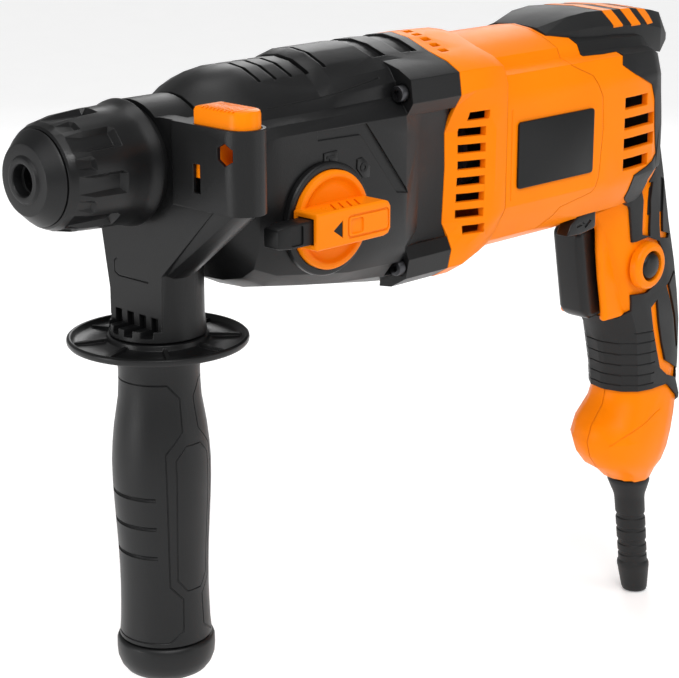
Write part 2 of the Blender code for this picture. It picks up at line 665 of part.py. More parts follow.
def build_top_pad():
    pad = loft("top_pad", black_rubber(), pad_sections(0), (310, 0, 30))
    slots = [box(f"pad_slot_{i}", black_rubber(), (296 + 13 * i, -14, 30.4 - 0.8 * i),
                 (303 + 13 * i, 14, 40)) for i in range(3)]
    cut(pad, joined("pad_slots", black_rubber(), slots))


def build_grip_cover():
    """The soft skin over the rear and the front band of the grip."""
    surface = black_rubber()
    cover = loft("grip_cover", surface, column_sections(COLUMN, 1.5), (350, 0, -100))
    side_view = prism("cover_outline", surface, COVER_OUTLINE, "Y", -60, 60)
    combine(cover, side_view, "INTERSECT")
    longer = [(-10,) + COLUMN[0][1:]] + COLUMN + [(-210,) + COLUMN[-1][1:]]
    inlays = [prism(f"inlay_{side}_{i}", surface, outline, "Y", side * 8, side * 60)
              for side in (1, -1) for i, outline in enumerate(INLAYS)]
    head = loft("cover_head_clearance", surface,
                [[(x, y * 1.03, z) for x, y, z in loop] for loop in head_sections(0)])
    cut(cover, loft("cover_inside", surface, column_sections(longer, GAP)), head,
        joined("inlays", surface, inlays))


def build_cord_boot():
    """The ribbed cord sleeve, leaning back a little, with a blind cable hole."""
    top = Vector((BOOT_TOP[0], 0, BOOT_TOP[1]))
    end = Vector((BOOT_END[0], 0, BOOT_END[1]))
    rows = ((0, 10.1), (0.03, 10.3), (0.13, 8.2), (0.18, 7.5), (0.32, 7.4), (0.33, 6.8),
            (0.36, 6.8), (0.37, 7.5), (0.56, 7.4), (0.57, 6.8), (0.6, 6.8), (0.61, 7.4),
            (0.74, 7.2), (0.76, 8), (0.79, 8), (0.97, 6.6), (1, 6), (1, 3.6), (0.7, 3.6))
    steps = 20
    verts = []
    for place, radius in rows:
        centre = top.lerp(end, place)
        for i in range(steps):
            angle = 2 * math.pi * i / steps
            verts.append((centre.x + radius * math.cos(angle), radius * math.sin(angle), centre.z))
    faces = [list(range(steps)), list(range(len(verts) - steps, len(verts)))]
    for s in range(len(rows) - 1):
        for i in range(steps):
            j = (i + 1) % steps
            a, b = s * steps, (s + 1) * steps
            faces.append([a + i, a + j, b + j, b + i])
    add_mesh("cord_boot", verts, faces, black_rubber(), tuple(top))


def build_switch_group():
    """Trigger, switch body, direction lever and lock-on button."""
    side_view = [(301.5, -69), (312, -67), (319.5, -67.6), (325, -111), (314.5, -112), (308.5, -107)]
    trigger = prism("trigger", black_nylon(), side_view, "Y", -8.2, 8.2, (312, 0, -90))
    soften(trigger, 3.2)
    box("switch_module", carbon(), (334, -7.4, -108), (354, 7.4, -64))
    plates = [box("lever_left", black_nylon(), (279, -26.4, -61.8), (299.5, -20, -54.2)),
              box("lever_right", black_nylon(), (279, 20, -61.8), (299.5, 26.4, -54.2))]
    lever = box("direction_lever", black_nylon(), (286, -21, -61), (293, 21, -55), (289.5, 0, -58))
    unite(lever, joined("lever_plates", black_nylon(), plates))
    x, z = LOCK_BUTTON
    ring = lathe("lock_button_ring", orange_nylon(),
                 [(-19.8, 7.2), (-19.8, 11.2), (-23, 11.2), (-24.6, 9.6), (-24.6, 7.2)][::-1],
                 axis="Y", centre=(x, z), steps=32, origin=(x, -21, z))
    combine(ring, loft("ring_seat", orange_nylon(), column_sections(COLUMN, GAP)), "DIFFERENCE")
    profile = [(-24.4, 0), (-24.4, 5.4), (-23.4, 6.4), (-11, 6.4), (-11, 0)]
    lathe("lock_button", black_nylon(), profile, axis="Y", centre=(x, z), steps=24,
          origin=(x, -21, z))


def build_mode_dial():
    x, z = DIAL
    base = [(-38.9, DIAL_R + GAP), (-38.9, 20.8), (-38.2, 21.6), (-36.3, 21.6), (-36.3, DIAL_R + GAP)]
    lathe("dial_base", black_nylon(), base, axis="Y", centre=DIAL, steps=32, origin=(x, -37, z))
    disc = [(-36.5, 0), (-36.5, DIAL_R), (-40.4, DIAL_R), (-41.2, DIAL_R - 0.8), (-41.2, 15.8),
            (-39.6, 14.4), (-39.6, 0)]
    dial = lathe("mode_dial", orange_nylon(), disc, axis="Y", centre=DIAL, steps=32,
                 origin=(x, -36.5, z))
    bar = prism("dial_bar", orange_nylon(),
                [(-19.6, -6.9), (17.4, -6.9), (19.4, -4.9), (19.4, 4.9), (17.4, 6.9), (-19.6, 6.9)],
                "Y", -52, -39.3)
    bar.data.transform(bar.matrix_basis)
    bar.matrix_basis.identity()
    bar.location = (x * MM, 0, z * MM)
    way = box("dial_way", orange_nylon(), (x - 25, -50.2, z - 4.9), (x - 7.4, -41.7, z + 4.9))
    unite(dial, bar)
    cut(dial, way)
    outline = [(x - 37, z - 3.6), (x - 30, z - 4.6), (x - 11, z - 4.6), (x - 11, z + 4.6),
               (x - 30, z + 4.6), (x - 37, z + 3.6)]
    soften(prism("dial_button", black_nylon(), outline, "Y", -49.9, -42, (x - 24, -46, z)), 0.8)


def boss_loop(inset, inner_y):
    """The stadium outline of the depth-rod boss, running inwards to a given Y."""
    x, y = BOSS
    r = BOSS_R - inset
    end = [(x + r * math.cos(a), y + r * math.sin(a))
           for a in [math.pi * (1 + i / 10) for i in range(11)]]
    return end + [(x + r, inner_y), (x - r, inner_y)]


def build_side_bracket():
    """Clamp band, front plate, neck and depth-rod boss of the side handle."""
    surface = black_nylon()
    x = HANDLE_X
    bracket = lathe("side_bracket", surface, [(PLATE_X, COLLAR_R - 1.5), (PLATE_X, 22.6),
                                              (66.4, 22.6), (66.4, COLLAR_R - 1.5)],
                    steps=36, origin=(x, 0, 0))
    outline = [(-46, 18), (-17, 18), (16, 14), (19.5, -22), (14.6, -50), (14.6, -60),
               (-14.6, -60), (-15.4, -40.4), (-35.3, -20.6), (-44, -11.9), (-46, -11.9)]
    plate = prism("bracket_plate", surface, outline, "X", PLATE_X, 55)
    neck = lathe("bracket_neck", surface, [(-65.6, 0), (-65.6, NECK_R + 0.4), (-59, NECK_R - 0.4),
                                           (-36, NECK_R - 0.4), (-21, 16), (-21, 0)],
                 axis="Z", centre=(x, 0), steps=36)
    front = box("neck_front", surface, (20, -30, -61.5), (PLATE_X, 30, 0))
    rear = prism("neck_rear", surface, [(66.4, 0), (66.4, -22), (72.6, -37), (73, -40), (73, -62),
                                        (90, -62), (90, 0)], "Y", -30, 30)
    cut(neck, joined("neck_trims", surface, [front, rear]))
    boss = prism("bracket_boss", surface, boss_loop(0, -24), "Z", -12, 18)
    strut = loft("bracket_strut", surface,
                 [[(px, py, -11) for px, py in rounded(BOSS[0] + 0.4, -45, 7, 13, 6.5)],
                  [(px, py, -42) for px, py in rounded(x - 1, -8.4, 8, 9, 7)]])
    unite(bracket, plate, neck, boss, strut)
    hexagon = [(BOSS[1] + 0.5 + HEX_ACROSS / math.sqrt(3) * math.cos(math.pi / 3 * (i + 0.5)),
                HEX_Z + HEX_ACROSS / math.sqrt(3) * math.sin(math.pi / 3 * (i + 0.5)))
               for i in range(6)]
    bolt_hole = lathe("bolt_hole", surface, [(-70, 0), (-70, 5.4), (-30, 5.4), (-30, 0)], axis="Z",
                      centre=(x, 0), steps=20)
    collar = lathe("collar_hole", surface, [(45, 0), (45, COLLAR_R + GAP), (70, COLLAR_R + GAP),
                                            (70, 0)], steps=36)
    window = box("plate_window", surface, (40, -38.8, -6), (52, -35.2, 4.3))
    notches = [box(f"notch_{i}", surface, (40, -12.5 + 6.8 * i, -64), (PLATE_X + 2.4, -8.7 + 6.8 * i, -57))
               for i in range(4)]
    cut(bracket, collar, prism("rod_hole", surface, hexagon, "X", 40, 80),
        prism("button_well", surface, boss_loop(1.4, -33.8), "Z", -7, 30), bolt_hole,
        joined("plate_cuts", surface, [window] + notches))


def build_depth_button():
    """The push button that frees the depth rod."""
    levels = [(-1, 1.7, -34.2), (22.8, 1.7, -34.2), (24, 2.1, -34.6), (24.4, 3, -35.4)]
    loops = [[(px, py, z) for px, py in boss_loop(inset, inner)] for z, inset, inner in levels]
    button = loft("depth_button", orange_nylon(), loops, (BOSS[0], BOSS[1], 18.3))
    way = box("button_rod_way", orange_nylon(), (40, BOSS[1] - 4.2, 4.6), (80, BOSS[1] + 5, 14.4))
    cut(button, way)


def build_side_grip():
    x = HANDLE_X
    disc = [(-66.2, 6.5), (-66.2, 17), (-69.2, 24), (-68.4, 31.6), (-67.2, 32.6), (-67.2, 33.6),
            (-68.4, 34.2), (-69.8, 33.6), (-71, 24), (-70.2, 17), (-70.2, 6.5)]
    lathe("hand_guard", black_nylon(), disc[::-1], axis="Z", centre=(x, 0), steps=36,
          origin=(x, 0, -66.2))
    profile = [(-70.6, 6.5), (-70.6, 16.6), (-74, 16.2), (-80, 15.4), (-91, 15.8), (-102, 17.6),
               (-116, 18.8), (-132, 18.4), (-150, 17.4), (-168, 17), (-182, 17.4), (-187.6, 18),
               (-187.6, 6.5)]
    lathe("side_grip", black_rubber(), profile, axis="Z", centre=(x, 0), steps=30,
          origin=(x, 0, -130))
    cap = [(-188, 0), (-188, 18.4), (-189.6, 19), (-196, 18.8), (-201, 16.4), (-203.4, 12),
           (-203.4, 0)]
    lathe("grip_end_cap", black_nylon(), cap, axis="Z", centre=(x, 0), steps=30,
          origin=(x, 0, -188))
    bolt = [(-186, 0), (-186, 4.9), (-34, 4.9), (-34, 0)]
    lathe("clamp_bolt", dark_steel(), bolt, axis="Z", centre=(x, 0), steps=20, origin=(x, 0, -100))


def build_screws():
    """Socket screws through the four lugs."""
    for side, word in ((-1, "left"), (1, "right")):
        for height, y, z, face in SCREW_PLACES:
            x = face - 0.4
            profile = [(x, 0), (x, 3.2), (x - 3.2, 3.2), (x - 3.2, 1.6), (x - 1.2, 1.6),
                       (x - 1.2, 0)]
            lathe(f"housing_screw_{height}_{word}", dark_steel(), profile[::-1],
                  centre=(side * y, z), steps=16, origin=(x, side * y, z))


def clear_scene():
    for obj in list(bpy.data.objects):
        bpy.data.objects.remove(obj, do_unlink=True)


def main():
    clear_scene()
    build_dust_cap()
    build_tool_holder()
    build_locking_balls()
    build_locking_sleeve()
    build_sleeve_spring()
    build_hammer_train()
    build_spindle_gear()
    build_counter_shaft()
    build_motor()
    build_brushes()
    build_gear_housing()
    build_inner_flange()
    build_vent_ring()
    build_motor_housing()
    build_label_plate()
    build_handle_shell("handle_shell_left", -1)
    build_handle_shell("handle_shell_right", 1)
    build_top_pad()
    build_grip_cover()
    build_cord_boot()
    build_switch_group()
    build_mode_dial()
    build_side_bracket()
    build_depth_button()
    build_side_grip()
    build_screws()


main()
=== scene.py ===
"""Corded rotary hammer with a clamp-on side handle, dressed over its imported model.

Stations along X are millimetres behind the flat nose face, with the spindle on Y = Z = 0.
"""

import json
import logging
import math
from collections.abc import Iterable, Sequence
from dataclasses import dataclass
from enum import Enum
from typing import ClassVar

import bmesh
import bpy
from mathutils import Matrix, Vector
from mathutils.bvhtree import BVHTree


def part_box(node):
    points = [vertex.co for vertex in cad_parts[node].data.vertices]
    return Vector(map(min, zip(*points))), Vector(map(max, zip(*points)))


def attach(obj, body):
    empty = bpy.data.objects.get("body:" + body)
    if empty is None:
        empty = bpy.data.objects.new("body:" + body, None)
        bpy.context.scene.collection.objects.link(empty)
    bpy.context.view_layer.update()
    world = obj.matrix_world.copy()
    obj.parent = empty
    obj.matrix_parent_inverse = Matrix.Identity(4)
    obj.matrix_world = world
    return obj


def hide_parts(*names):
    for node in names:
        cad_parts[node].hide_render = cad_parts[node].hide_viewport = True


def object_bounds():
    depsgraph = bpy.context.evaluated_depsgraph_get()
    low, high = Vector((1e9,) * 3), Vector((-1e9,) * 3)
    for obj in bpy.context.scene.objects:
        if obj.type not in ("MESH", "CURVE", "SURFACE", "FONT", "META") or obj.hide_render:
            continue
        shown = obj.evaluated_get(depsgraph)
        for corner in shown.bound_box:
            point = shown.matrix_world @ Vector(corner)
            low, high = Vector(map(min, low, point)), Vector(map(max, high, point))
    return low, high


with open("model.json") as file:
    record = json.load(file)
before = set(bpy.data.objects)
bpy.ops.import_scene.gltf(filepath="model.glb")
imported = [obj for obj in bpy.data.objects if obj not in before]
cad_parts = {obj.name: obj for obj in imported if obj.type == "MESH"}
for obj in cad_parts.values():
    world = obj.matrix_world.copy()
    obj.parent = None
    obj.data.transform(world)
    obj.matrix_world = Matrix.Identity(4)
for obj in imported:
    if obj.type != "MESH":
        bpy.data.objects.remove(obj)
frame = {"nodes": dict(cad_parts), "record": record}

MM = 0.001
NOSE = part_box("dust_cap")[0].x
CAD_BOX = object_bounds()
LOG = logging.getLogger("rotary_hammer")
MERGE = 2e-6
ON_AXIS = 1e-6
OUTSIDE = 120
FULL_TURN = 2 * math.pi

Point = Sequence[float]
Values = Sequence[float]
Ray = tuple[Vector, Vector]
Object = bpy.types.Object
Nodes = bpy.types.Nodes
Links = bpy.types.NodeLinks
Node = bpy.types.ShaderNode
Socket = bpy.types.NodeSocket


class Axis(Enum):
    """The direction a shape is turned about or pushed along."""

    X = (1, 0, 0)
    Y = (0, 1, 0)
    Z = (0, 0, 1)


class Cut(Enum):
    """What a second shape does to the first."""

    REMOVE = "DIFFERENCE"
    ADD = "UNION"
    KEEP = "INTERSECT"


def station(x: float, y: float, z: float) -> Vector:
    """A point from millimetres behind the nose face."""
    return Vector((NOSE + x * MM, y * MM, z * MM))


def laid(axis: Axis, along: float, a: float, b: float) -> Vector:
    """A point from its place along an axis and two coordinates across it.

    Args:
        axis: the direction that along is measured in.
        along: millimetres along the axis.
        a: the first coordinate across it, in the order X, Y, Z.
        b: the second coordinate across it.

    Returns:
        The point in the row frame.
    """
    return station(*{Axis.X: (along, a, b), Axis.Y: (a, along, b), Axis.Z: (a, b, along)}[axis])


def pick(obj: Object) -> Object:
    """Makes one object the only selected and the active one.

    Args:
        obj: the object.

    Returns:
        The same object.
    """
    bpy.ops.object.select_all(action="DESELECT")
    obj.select_set(True)
    bpy.context.view_layer.objects.active = obj
    return obj


def apply_all(obj: Object) -> Object:
    """Applies every modifier of an object in order.

    Args:
        obj: the object.

    Returns:
        The changed object.
    """
    pick(obj)
    for modifier in list(obj.modifiers):
        bpy.ops.object.modifier_apply(modifier=modifier.name)
    return obj


def combine(obj: Object, others: Iterable[Object], how: Cut = Cut.REMOVE) -> Object:
    """Applies Booleans with other shapes and removes those shapes.

    Args:
        obj: the shape that stays.
        others: the shapes that are used up.
        how: what they do to it.

    Returns:
        The changed shape.
    """
    for other in list(others):
        boolean = obj.modifiers.new("shape", "BOOLEAN")
        boolean.object = other
        boolean.operation = how.value
        boolean.solver = "EXACT"
        apply_all(obj)
        bpy.data.objects.remove(other, do_unlink=True)
    return obj


def start_vertex(name: str, at: Vector) -> Object:
    """A new mesh in edit mode with one selected vertex.

    Args:
        name: the piece's name.
        at: where the vertex lies.

    Returns:
        The object, whose origin is the row's.
    """
    bpy.ops.object.select_all(action="DESELECT")
    bpy.ops.mesh.primitive_plane_add(size=0.001)
    obj = bpy.context.object
    obj.name = name
    obj.data.name = name
    bpy.ops.object.mode_set(mode="EDIT")
    bpy.ops.mesh.select_all(action="SELECT")
    bpy.ops.mesh.merge(type="CENTER")
    bpy.ops.transform.translate(value=at)
    return obj


def trace(points: Sequence[Vector]) -> None:
    """Extrudes the selected vertex from point to point."""
    for before, after in zip(points, points[1:]):
        bpy.ops.mesh.extrude_region_move(TRANSFORM_OT_translate={"value": after - before})


def close_up() -> None:
    """Merges doubles, turns the faces outwards and leaves edit mode."""
    bpy.ops.mesh.select_all(action="SELECT")
    bpy.ops.mesh.remove_doubles(threshold=MERGE)
    bpy.ops.mesh.normals_make_consistent(inside=False)
    bpy.ops.object.mode_set(mode="OBJECT")


def turned(name: str, profile: Sequence[Point], axis: Axis = Axis.X,
           centre: Point = (0, 0), steps: int = 96) -> Object:
    """A turned piece, spun from its profile.

    Args:
        name: the piece's name.
        profile: (place along the axis, radius) pairs in millimetres. One with no point on
            the axis closes into a ring.
        axis: the axis it is turned about.
        centre: where the axis lies across it.
        steps: how many steps make a turn.

    Returns:
        The closed piece.
    """
    points = [laid(axis, along, centre[0] + (radius if axis is not Axis.X else 0),
                   centre[1] + (radius if axis is Axis.X else 0)) for along, radius in profile]
    obj = start_vertex(name, points[0])
    ring = min(radius for _, radius in profile) > ON_AXIS
    trace(points + points[:1] if ring else points)
    bpy.ops.mesh.select_all(action="SELECT")
    bpy.ops.mesh.spin(steps=steps, angle=FULL_TURN, center=laid(axis, 0, *centre),
                      axis=axis.value)
    close_up()
    return obj


def pushed(name: str, outline: Sequence[Point], axis: Axis, start: float, end: float) -> Object:
    """A flat outline extruded into a solid.

    Args:
        name: the piece's name.
        outline: corners across the axis, in millimetres.
        axis: the direction it is extruded in.
        start: where it starts along the axis.
        end: where it ends.

    Returns:
        The closed solid.
    """
    points = [laid(axis, start, *corner) for corner in outline]
    obj = start_vertex(name, points[0])
    trace(points + points[:1])
    bpy.ops.mesh.select_all(action="SELECT")
    bpy.ops.mesh.remove_doubles(threshold=MERGE)
    bpy.ops.mesh.select_all(action="SELECT")
    bpy.ops.mesh.edge_face_add()
    bpy.ops.mesh.extrude_region_move(
        TRANSFORM_OT_translate={"value": laid(axis, end, 0, 0) - laid(axis, start, 0, 0)})
    close_up()
    return obj


def oblong(cx: float, cy: float, a: float, b: float, r: float, corner: int = 5) -> list[Point]:
    """A rounded rectangle's outline.

    Args:
        cx: the centre's first coordinate.
        cy: the centre's second coordinate.
        a: half the size along the first coordinate.
        b: half the size along the second.
        r: the corner radius.
        corner: how many points make each corner.

    Returns:
        The points in order round the outline.
    """
    points = []
    for k, (sx, sy) in enumerate(((1, 1), (-1, 1), (-1, -1), (1, -1))):
        for i in range(corner):
            angle = math.pi / 2 * (k + i / (corner - 1))
            points.append((cx + sx * (a - r) + r * math.cos(angle),
                           cy + sy * (b - r) + r * math.sin(angle)))
    return points


def block(name: str, low: Point, high: Point) -> Object:
    """A straight cutter between two corners."""
    outline = [(low[1], low[2]), (high[1], low[2]), (high[1], high[2]), (low[1], high[2])]
    return pushed(name, outline, Axis.X, low[0], high[0])


def soften(obj: Object, width: float, segments: int = 3, angle: float = 35) -> Object:
    """Rounds the sharper edges of a piece.

    Args:
        obj: the piece.
        width: the bevel's width in millimetres.
        segments: how many faces make the round.
        angle: the least angle, in degrees, of an edge that is rounded.

    Returns:
        The changed piece.
    """
    bevel = obj.modifiers.new("round", "BEVEL")
    bevel.width = width * MM
    bevel.segments = segments
    bevel.limit_method = "ANGLE"
    bevel.angle_limit = math.radians(angle)
    bevel.use_clamp_overlap = True
    return apply_all(obj)


def copy_of(node: str, name: str, flatten: float = 0.4) -> Object:
    """A copy of a CAD node's mesh, merged and cleaned, as the start of a detailed piece.

    Args:
        node: the CAD node.
        name: the new piece's name.
        flatten: faces that meet within this angle, in degrees, become one.

    Returns:
        The copy, with no material.
    """
    obj = bpy.data.objects.new(name, frame["nodes"][node].data.copy())
    obj.data.name = name
    bpy.context.scene.collection.objects.link(obj)
    obj.data.materials.clear()
    pick(obj)
    bpy.ops.object.mode_set(mode="EDIT")
    bpy.ops.mesh.select_all(action="SELECT")
    bpy.ops.mesh.remove_doubles(threshold=4e-6)
    bpy.ops.mesh.select_all(action="SELECT")
    bpy.ops.mesh.dissolve_limited(angle_limit=math.radians(flatten))
    bpy.ops.object.mode_set(mode="OBJECT")
    bpy.ops.mesh.customdata_custom_splitnormals_clear()
    return obj


def swell(obj: Object, by: float) -> Object:
    """Moves every face of a piece outwards.

    Args:
        obj: the piece.
        by: how far, in millimetres.

    Returns:
        The changed piece.
    """
    pick(obj)
    bpy.ops.object.mode_set(mode="EDIT")
    bpy.ops.mesh.select_all(action="SELECT")
    bpy.ops.transform.shrink_fatten(value=by * MM)
    bpy.ops.object.mode_set(mode="OBJECT")
    return obj


def spaced(corners: Sequence[Point], gap: float = 2.0, closed: bool = False) -> list[Vector]:
    """Points along a path, no further apart than a gap.

    Args:
        corners: the path's corners.
        gap: the longest step, in the corners' own units.
        closed: whether the path runs back to its first corner.

    Returns:
        The points, without a repeat of the first one.
    """
    ends = [Vector(c) for c in corners] + ([Vector(corners[0])] if closed else [])
    points = [ends[0]]
    for a, b in zip(ends, ends[1:]):
        count = max(1, math.ceil((b - a).length / gap))
        points += [a.lerp(b, (i + 1) / count) for i in range(count)]
    return points[:-1] if closed else points


def draped(obj: Object, rays: Iterable[Ray]) -> list[Vector]:
    """Where rays from outside first meet a piece, skipping those that miss it.

    Args:
        obj: the piece.
        rays: the start and the direction of each ray.

    Returns:
        The points on the piece's surface.
    """
    mesh = bmesh.new()
    mesh.from_mesh(obj.data)
    tree = BVHTree.FromBMesh(mesh)
    mesh.free()
    hits = [tree.ray_cast(start, way)[0] for start, way in rays]
    return [hit for hit in hits if hit is not None]


def from_side(path: Sequence[Vector], side: int) -> list[Ray]:
    """Rays at a path of (x, z) points, from the -Y side (-1) or the +Y side (1)."""
    return [(station(p.x, side * OUTSIDE, p.y), Vector((0, -side, 0))) for p in path]


def round_axis(path: Sequence[Vector], centre_x: float) -> list[Ray]:
    """Rays in towards an upright axis.

    Args:
        path: (degrees round Z, z) points.
        centre_x: the axis's station.

    Returns:
        A ray for each point.
    """
    rays = []
    for p in path:
        out = Vector((math.cos(math.radians(p.x)), math.sin(math.radians(p.x)), 0))
        rays.append((station(centre_x, 0, p.y) + out * OUTSIDE * MM, -out))
    return rays


def score(obj: Object, rays: Iterable[Ray], radius: float, closed: bool = False) -> Object:
    """Cuts a round-bottomed line into a piece where rays meet it.

    Args:
        obj: the piece.
        rays: the line's path, as rays from outside.
        radius: half the line's width, in millimetres.
        closed: whether its end meets its start.

    Returns:
        The changed piece.
    """
    points = draped(obj, rays)
    if len(points) < 2:
        LOG.warning("a line misses %s", obj.name)
        return obj
    curve = bpy.data.curves.new("line", "CURVE")
    curve.dimensions = "3D"
    curve.bevel_depth = radius * MM
    curve.bevel_resolution = 1
    curve.use_fill_caps = True
    spline = curve.splines.new("POLY")
    spline.points.add(len(points) - 1)
    for place, point in zip(spline.points, points):
        place.co = (*point, 1)
    spline.use_cyclic_u = closed
    tube = bpy.data.objects.new("line", curve)
    bpy.context.scene.collection.objects.link(tube)
    pick(tube)
    bpy.ops.object.convert(target="MESH")
    tube = bpy.context.object
    bpy.ops.object.mode_set(mode="EDIT")
    close_up()
    return combine(obj, [tube])


def dress(piece: Object, finish: "Finish", body: str, replaces: Sequence[str] = (),
          angle: float = 35) -> Object:
    """Gives a finished piece its finish, its body and its shading.

    Args:
        piece: the piece.
        finish: its finish.
        body: the CAD body it moves with.
        replaces: the CAD nodes it stands for.
        angle: edges sharper than this, in degrees, stay crisp.

    Returns:
        The piece.
    """
    piece.data.materials.clear()
    piece.data.materials.append(finish.material())
    pick(piece)
    bpy.ops.object.shade_smooth_by_angle(angle=math.radians(angle))
    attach(piece, body)
    if replaces:
        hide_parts(*replaces)
    LOG.info("%s: %d faces on %s", piece.name, len(piece.data.polygons), body)
    return piece


@dataclass(frozen=True)
class Finish:
    """A moulded or machined finish, with its grain, tint and wear."""

    name: str
    slot: str
    colour: Point
    roughness: float
    metallic: float = 0.0
    grain: float = 0.05
    grain_scale: float = 1600.0
    tint: float = 0.12
    stretch: Point = (1.0, 1.0, 1.0)
    edge: float = 0.0
    specular: float = 0.5

    POLISH_SPREAD: ClassVar[float] = 0.07
    GRAIN_HEIGHT: ClassVar[float] = 0.0002
    EDGE_SAMPLES: ClassVar[int] = 6

    def material(self) -> bpy.types.Material:
        """Makes the finish's node material, once.

        Returns:
            The material.
        """
        made = bpy.data.materials.get(self.name)
        if made:
            return made
        made = bpy.data.materials.new(self.name)
        made.use_nodes = True
        made.diffuse_color = (*self.colour, 1)
        nodes, links = made.node_tree.nodes, made.node_tree.links
        shader = nodes["Principled BSDF"]
        shader.inputs["Metallic"].default_value = self.metallic
        shader.inputs["Specular IOR Level"].default_value = self.specular
        place = nodes.new("ShaderNodeTexCoord")
        stretch = nodes.new("ShaderNodeMapping")
        stretch.inputs["Scale"].default_value = self.stretch
        links.new(place.outputs["Object"], stretch.inputs["Vector"])
        self._tint(nodes, links, place.outputs["Object"], shader)
        self._polish(nodes, links, stretch.outputs["Vector"], shader)
        self._relief(nodes, links, stretch.outputs["Vector"], shader)
        return made

    def _noise(self, nodes: Nodes, links: Links, place: Socket, scale: float,
               detail: float) -> Node:
        """A noise texture.

        Args:
            nodes: the material's nodes.
            links: the material's links.
            place: the coordinates it reads.
            scale: how fine it is.
            detail: how many octaves it has.

        Returns:
            The texture's node.
        """
        noise = nodes.new("ShaderNodeTexNoise")
        noise.inputs["Scale"].default_value = scale
        noise.inputs["Detail"].default_value = detail
        links.new(place, noise.inputs["Vector"])
        return noise

    def _tint(self, nodes: Nodes, links: Links, place: Socket, shader: Node) -> None:
        """Slow drift of the colour over a part.

        Args:
            nodes: the material's nodes.
            links: the material's links.
            place: the coordinates it reads.
            shader: the node that takes the colour.
        """
        noise = self._noise(nodes, links, place, 22.0, 3.0)
        ramp = nodes.new("ShaderNodeValToRGB")
        for stop, factor in zip(ramp.color_ramp.elements, (1 - self.tint, 1 + self.tint)):
            stop.color = (*(min(1.0, c * factor) for c in self.colour), 1)
        ramp.color_ramp.elements[0].position = 0.3
        ramp.color_ramp.elements[1].position = 0.7
        links.new(noise.outputs["Fac"], ramp.inputs["Fac"])
        links.new(ramp.outputs["Color"], shader.inputs["Base Color"])

    def _polish(self, nodes: Nodes, links: Links, place: Socket, shader: Node) -> None:
        """Uneven polish, as handling leaves it.

        Args:
            nodes: the material's nodes.
            links: the material's links.
            place: the coordinates it reads.
            shader: the node that takes the roughness.
        """
        noise = self._noise(nodes, links, place, 90.0, 4.0)
        spread = nodes.new("ShaderNodeMapRange")
        spread.inputs["To Min"].default_value = self.roughness - self.POLISH_SPREAD
        spread.inputs["To Max"].default_value = self.roughness + self.POLISH_SPREAD
        links.new(noise.outputs["Fac"], spread.inputs["Value"])
        links.new(spread.outputs["Result"], shader.inputs["Roughness"])

    def _relief(self, nodes: Nodes, links: Links, place: Socket, shader: Node) -> None:
        """The fine grain of the mould or the tool marks, over rounded edges.

        Args:
            nodes: the material's nodes.
            links: the material's links.
            place: the coordinates it reads.
            shader: the node that takes the relief.
        """
        noise = self._noise(nodes, links, place, self.grain_scale, 2.0)
        bump = nodes.new("ShaderNodeBump")
        bump.inputs["Strength"].default_value = self.grain
        bump.inputs["Distance"].default_value = self.GRAIN_HEIGHT
        links.new(noise.outputs["Fac"], bump.inputs["Height"])
        if self.edge:
            bevel = nodes.new("ShaderNodeBevel")
            bevel.samples = self.EDGE_SAMPLES
            bevel.inputs["Radius"].default_value = self.edge * MM
            links.new(bevel.outputs["Normal"], bump.inputs["Normal"])
        links.new(bump.outputs["Normal"], shader.inputs["Normal"])


NYLON = Finish("black glass-filled nylon", "black_nylon", (0.0062, 0.0063, 0.0066), 0.38,
               grain=0.22, edge=0.5, specular=0.28)
NYLON_SMOOTH = Finish("black smooth nylon", "black_nylon", (0.006, 0.0061, 0.0064), 0.32,
                      grain=0.12, edge=0.3, specular=0.3)
ORANGE = Finish("orange nylon", "orange_nylon", (0.93, 0.218, 0.0012), 0.34, grain=0.1,
                tint=0.05, edge=0.8, specular=0.07)
ORANGE_SMALL = Finish("orange acetal", "orange_nylon", (0.9, 0.215, 0.0012), 0.3, grain=0.05,
                      tint=0.04, edge=0.25, specular=0.1)
RUBBER = Finish("black soft overmould", "black_rubber", (0.0095, 0.0098, 0.0102), 0.5,
                grain=0.3, grain_scale=2200.0, edge=0.4, specular=0.28)
RUBBER_GRIP = Finish("black grip rubber", "black_rubber", (0.006, 0.0062, 0.0066), 0.4,
                     grain=0.25, grain_scale=2400.0, edge=0.25, specular=0.3)
LABEL = Finish("black label film", "gloss_black", (0.005, 0.0052, 0.0055), 0.4, grain=0.03,
               edge=0.1, specular=0.22)
STEEL = Finish("ground steel", "steel", (0.5, 0.5, 0.51), 0.3, 1.0, grain=0.3,
               grain_scale=500.0, stretch=(8, 1, 1))
DARK_STEEL = Finish("black oxide steel", "dark_steel", (0.07, 0.07, 0.075), 0.4, 1.0, grain=0.2)
ALUMINIUM = Finish("cast aluminium", "aluminium", (0.62, 0.63, 0.64), 0.45, 1.0, grain=0.35,
                   grain_scale=900.0)
COPPER = Finish("copper alloy", "copper", (0.78, 0.36, 0.18), 0.33, 1.0, grain=0.2,
                stretch=(8, 1, 1))
CARBON = Finish("matt dark moulding", "carbon", (0.03, 0.03, 0.035), 0.55, grain=0.3)


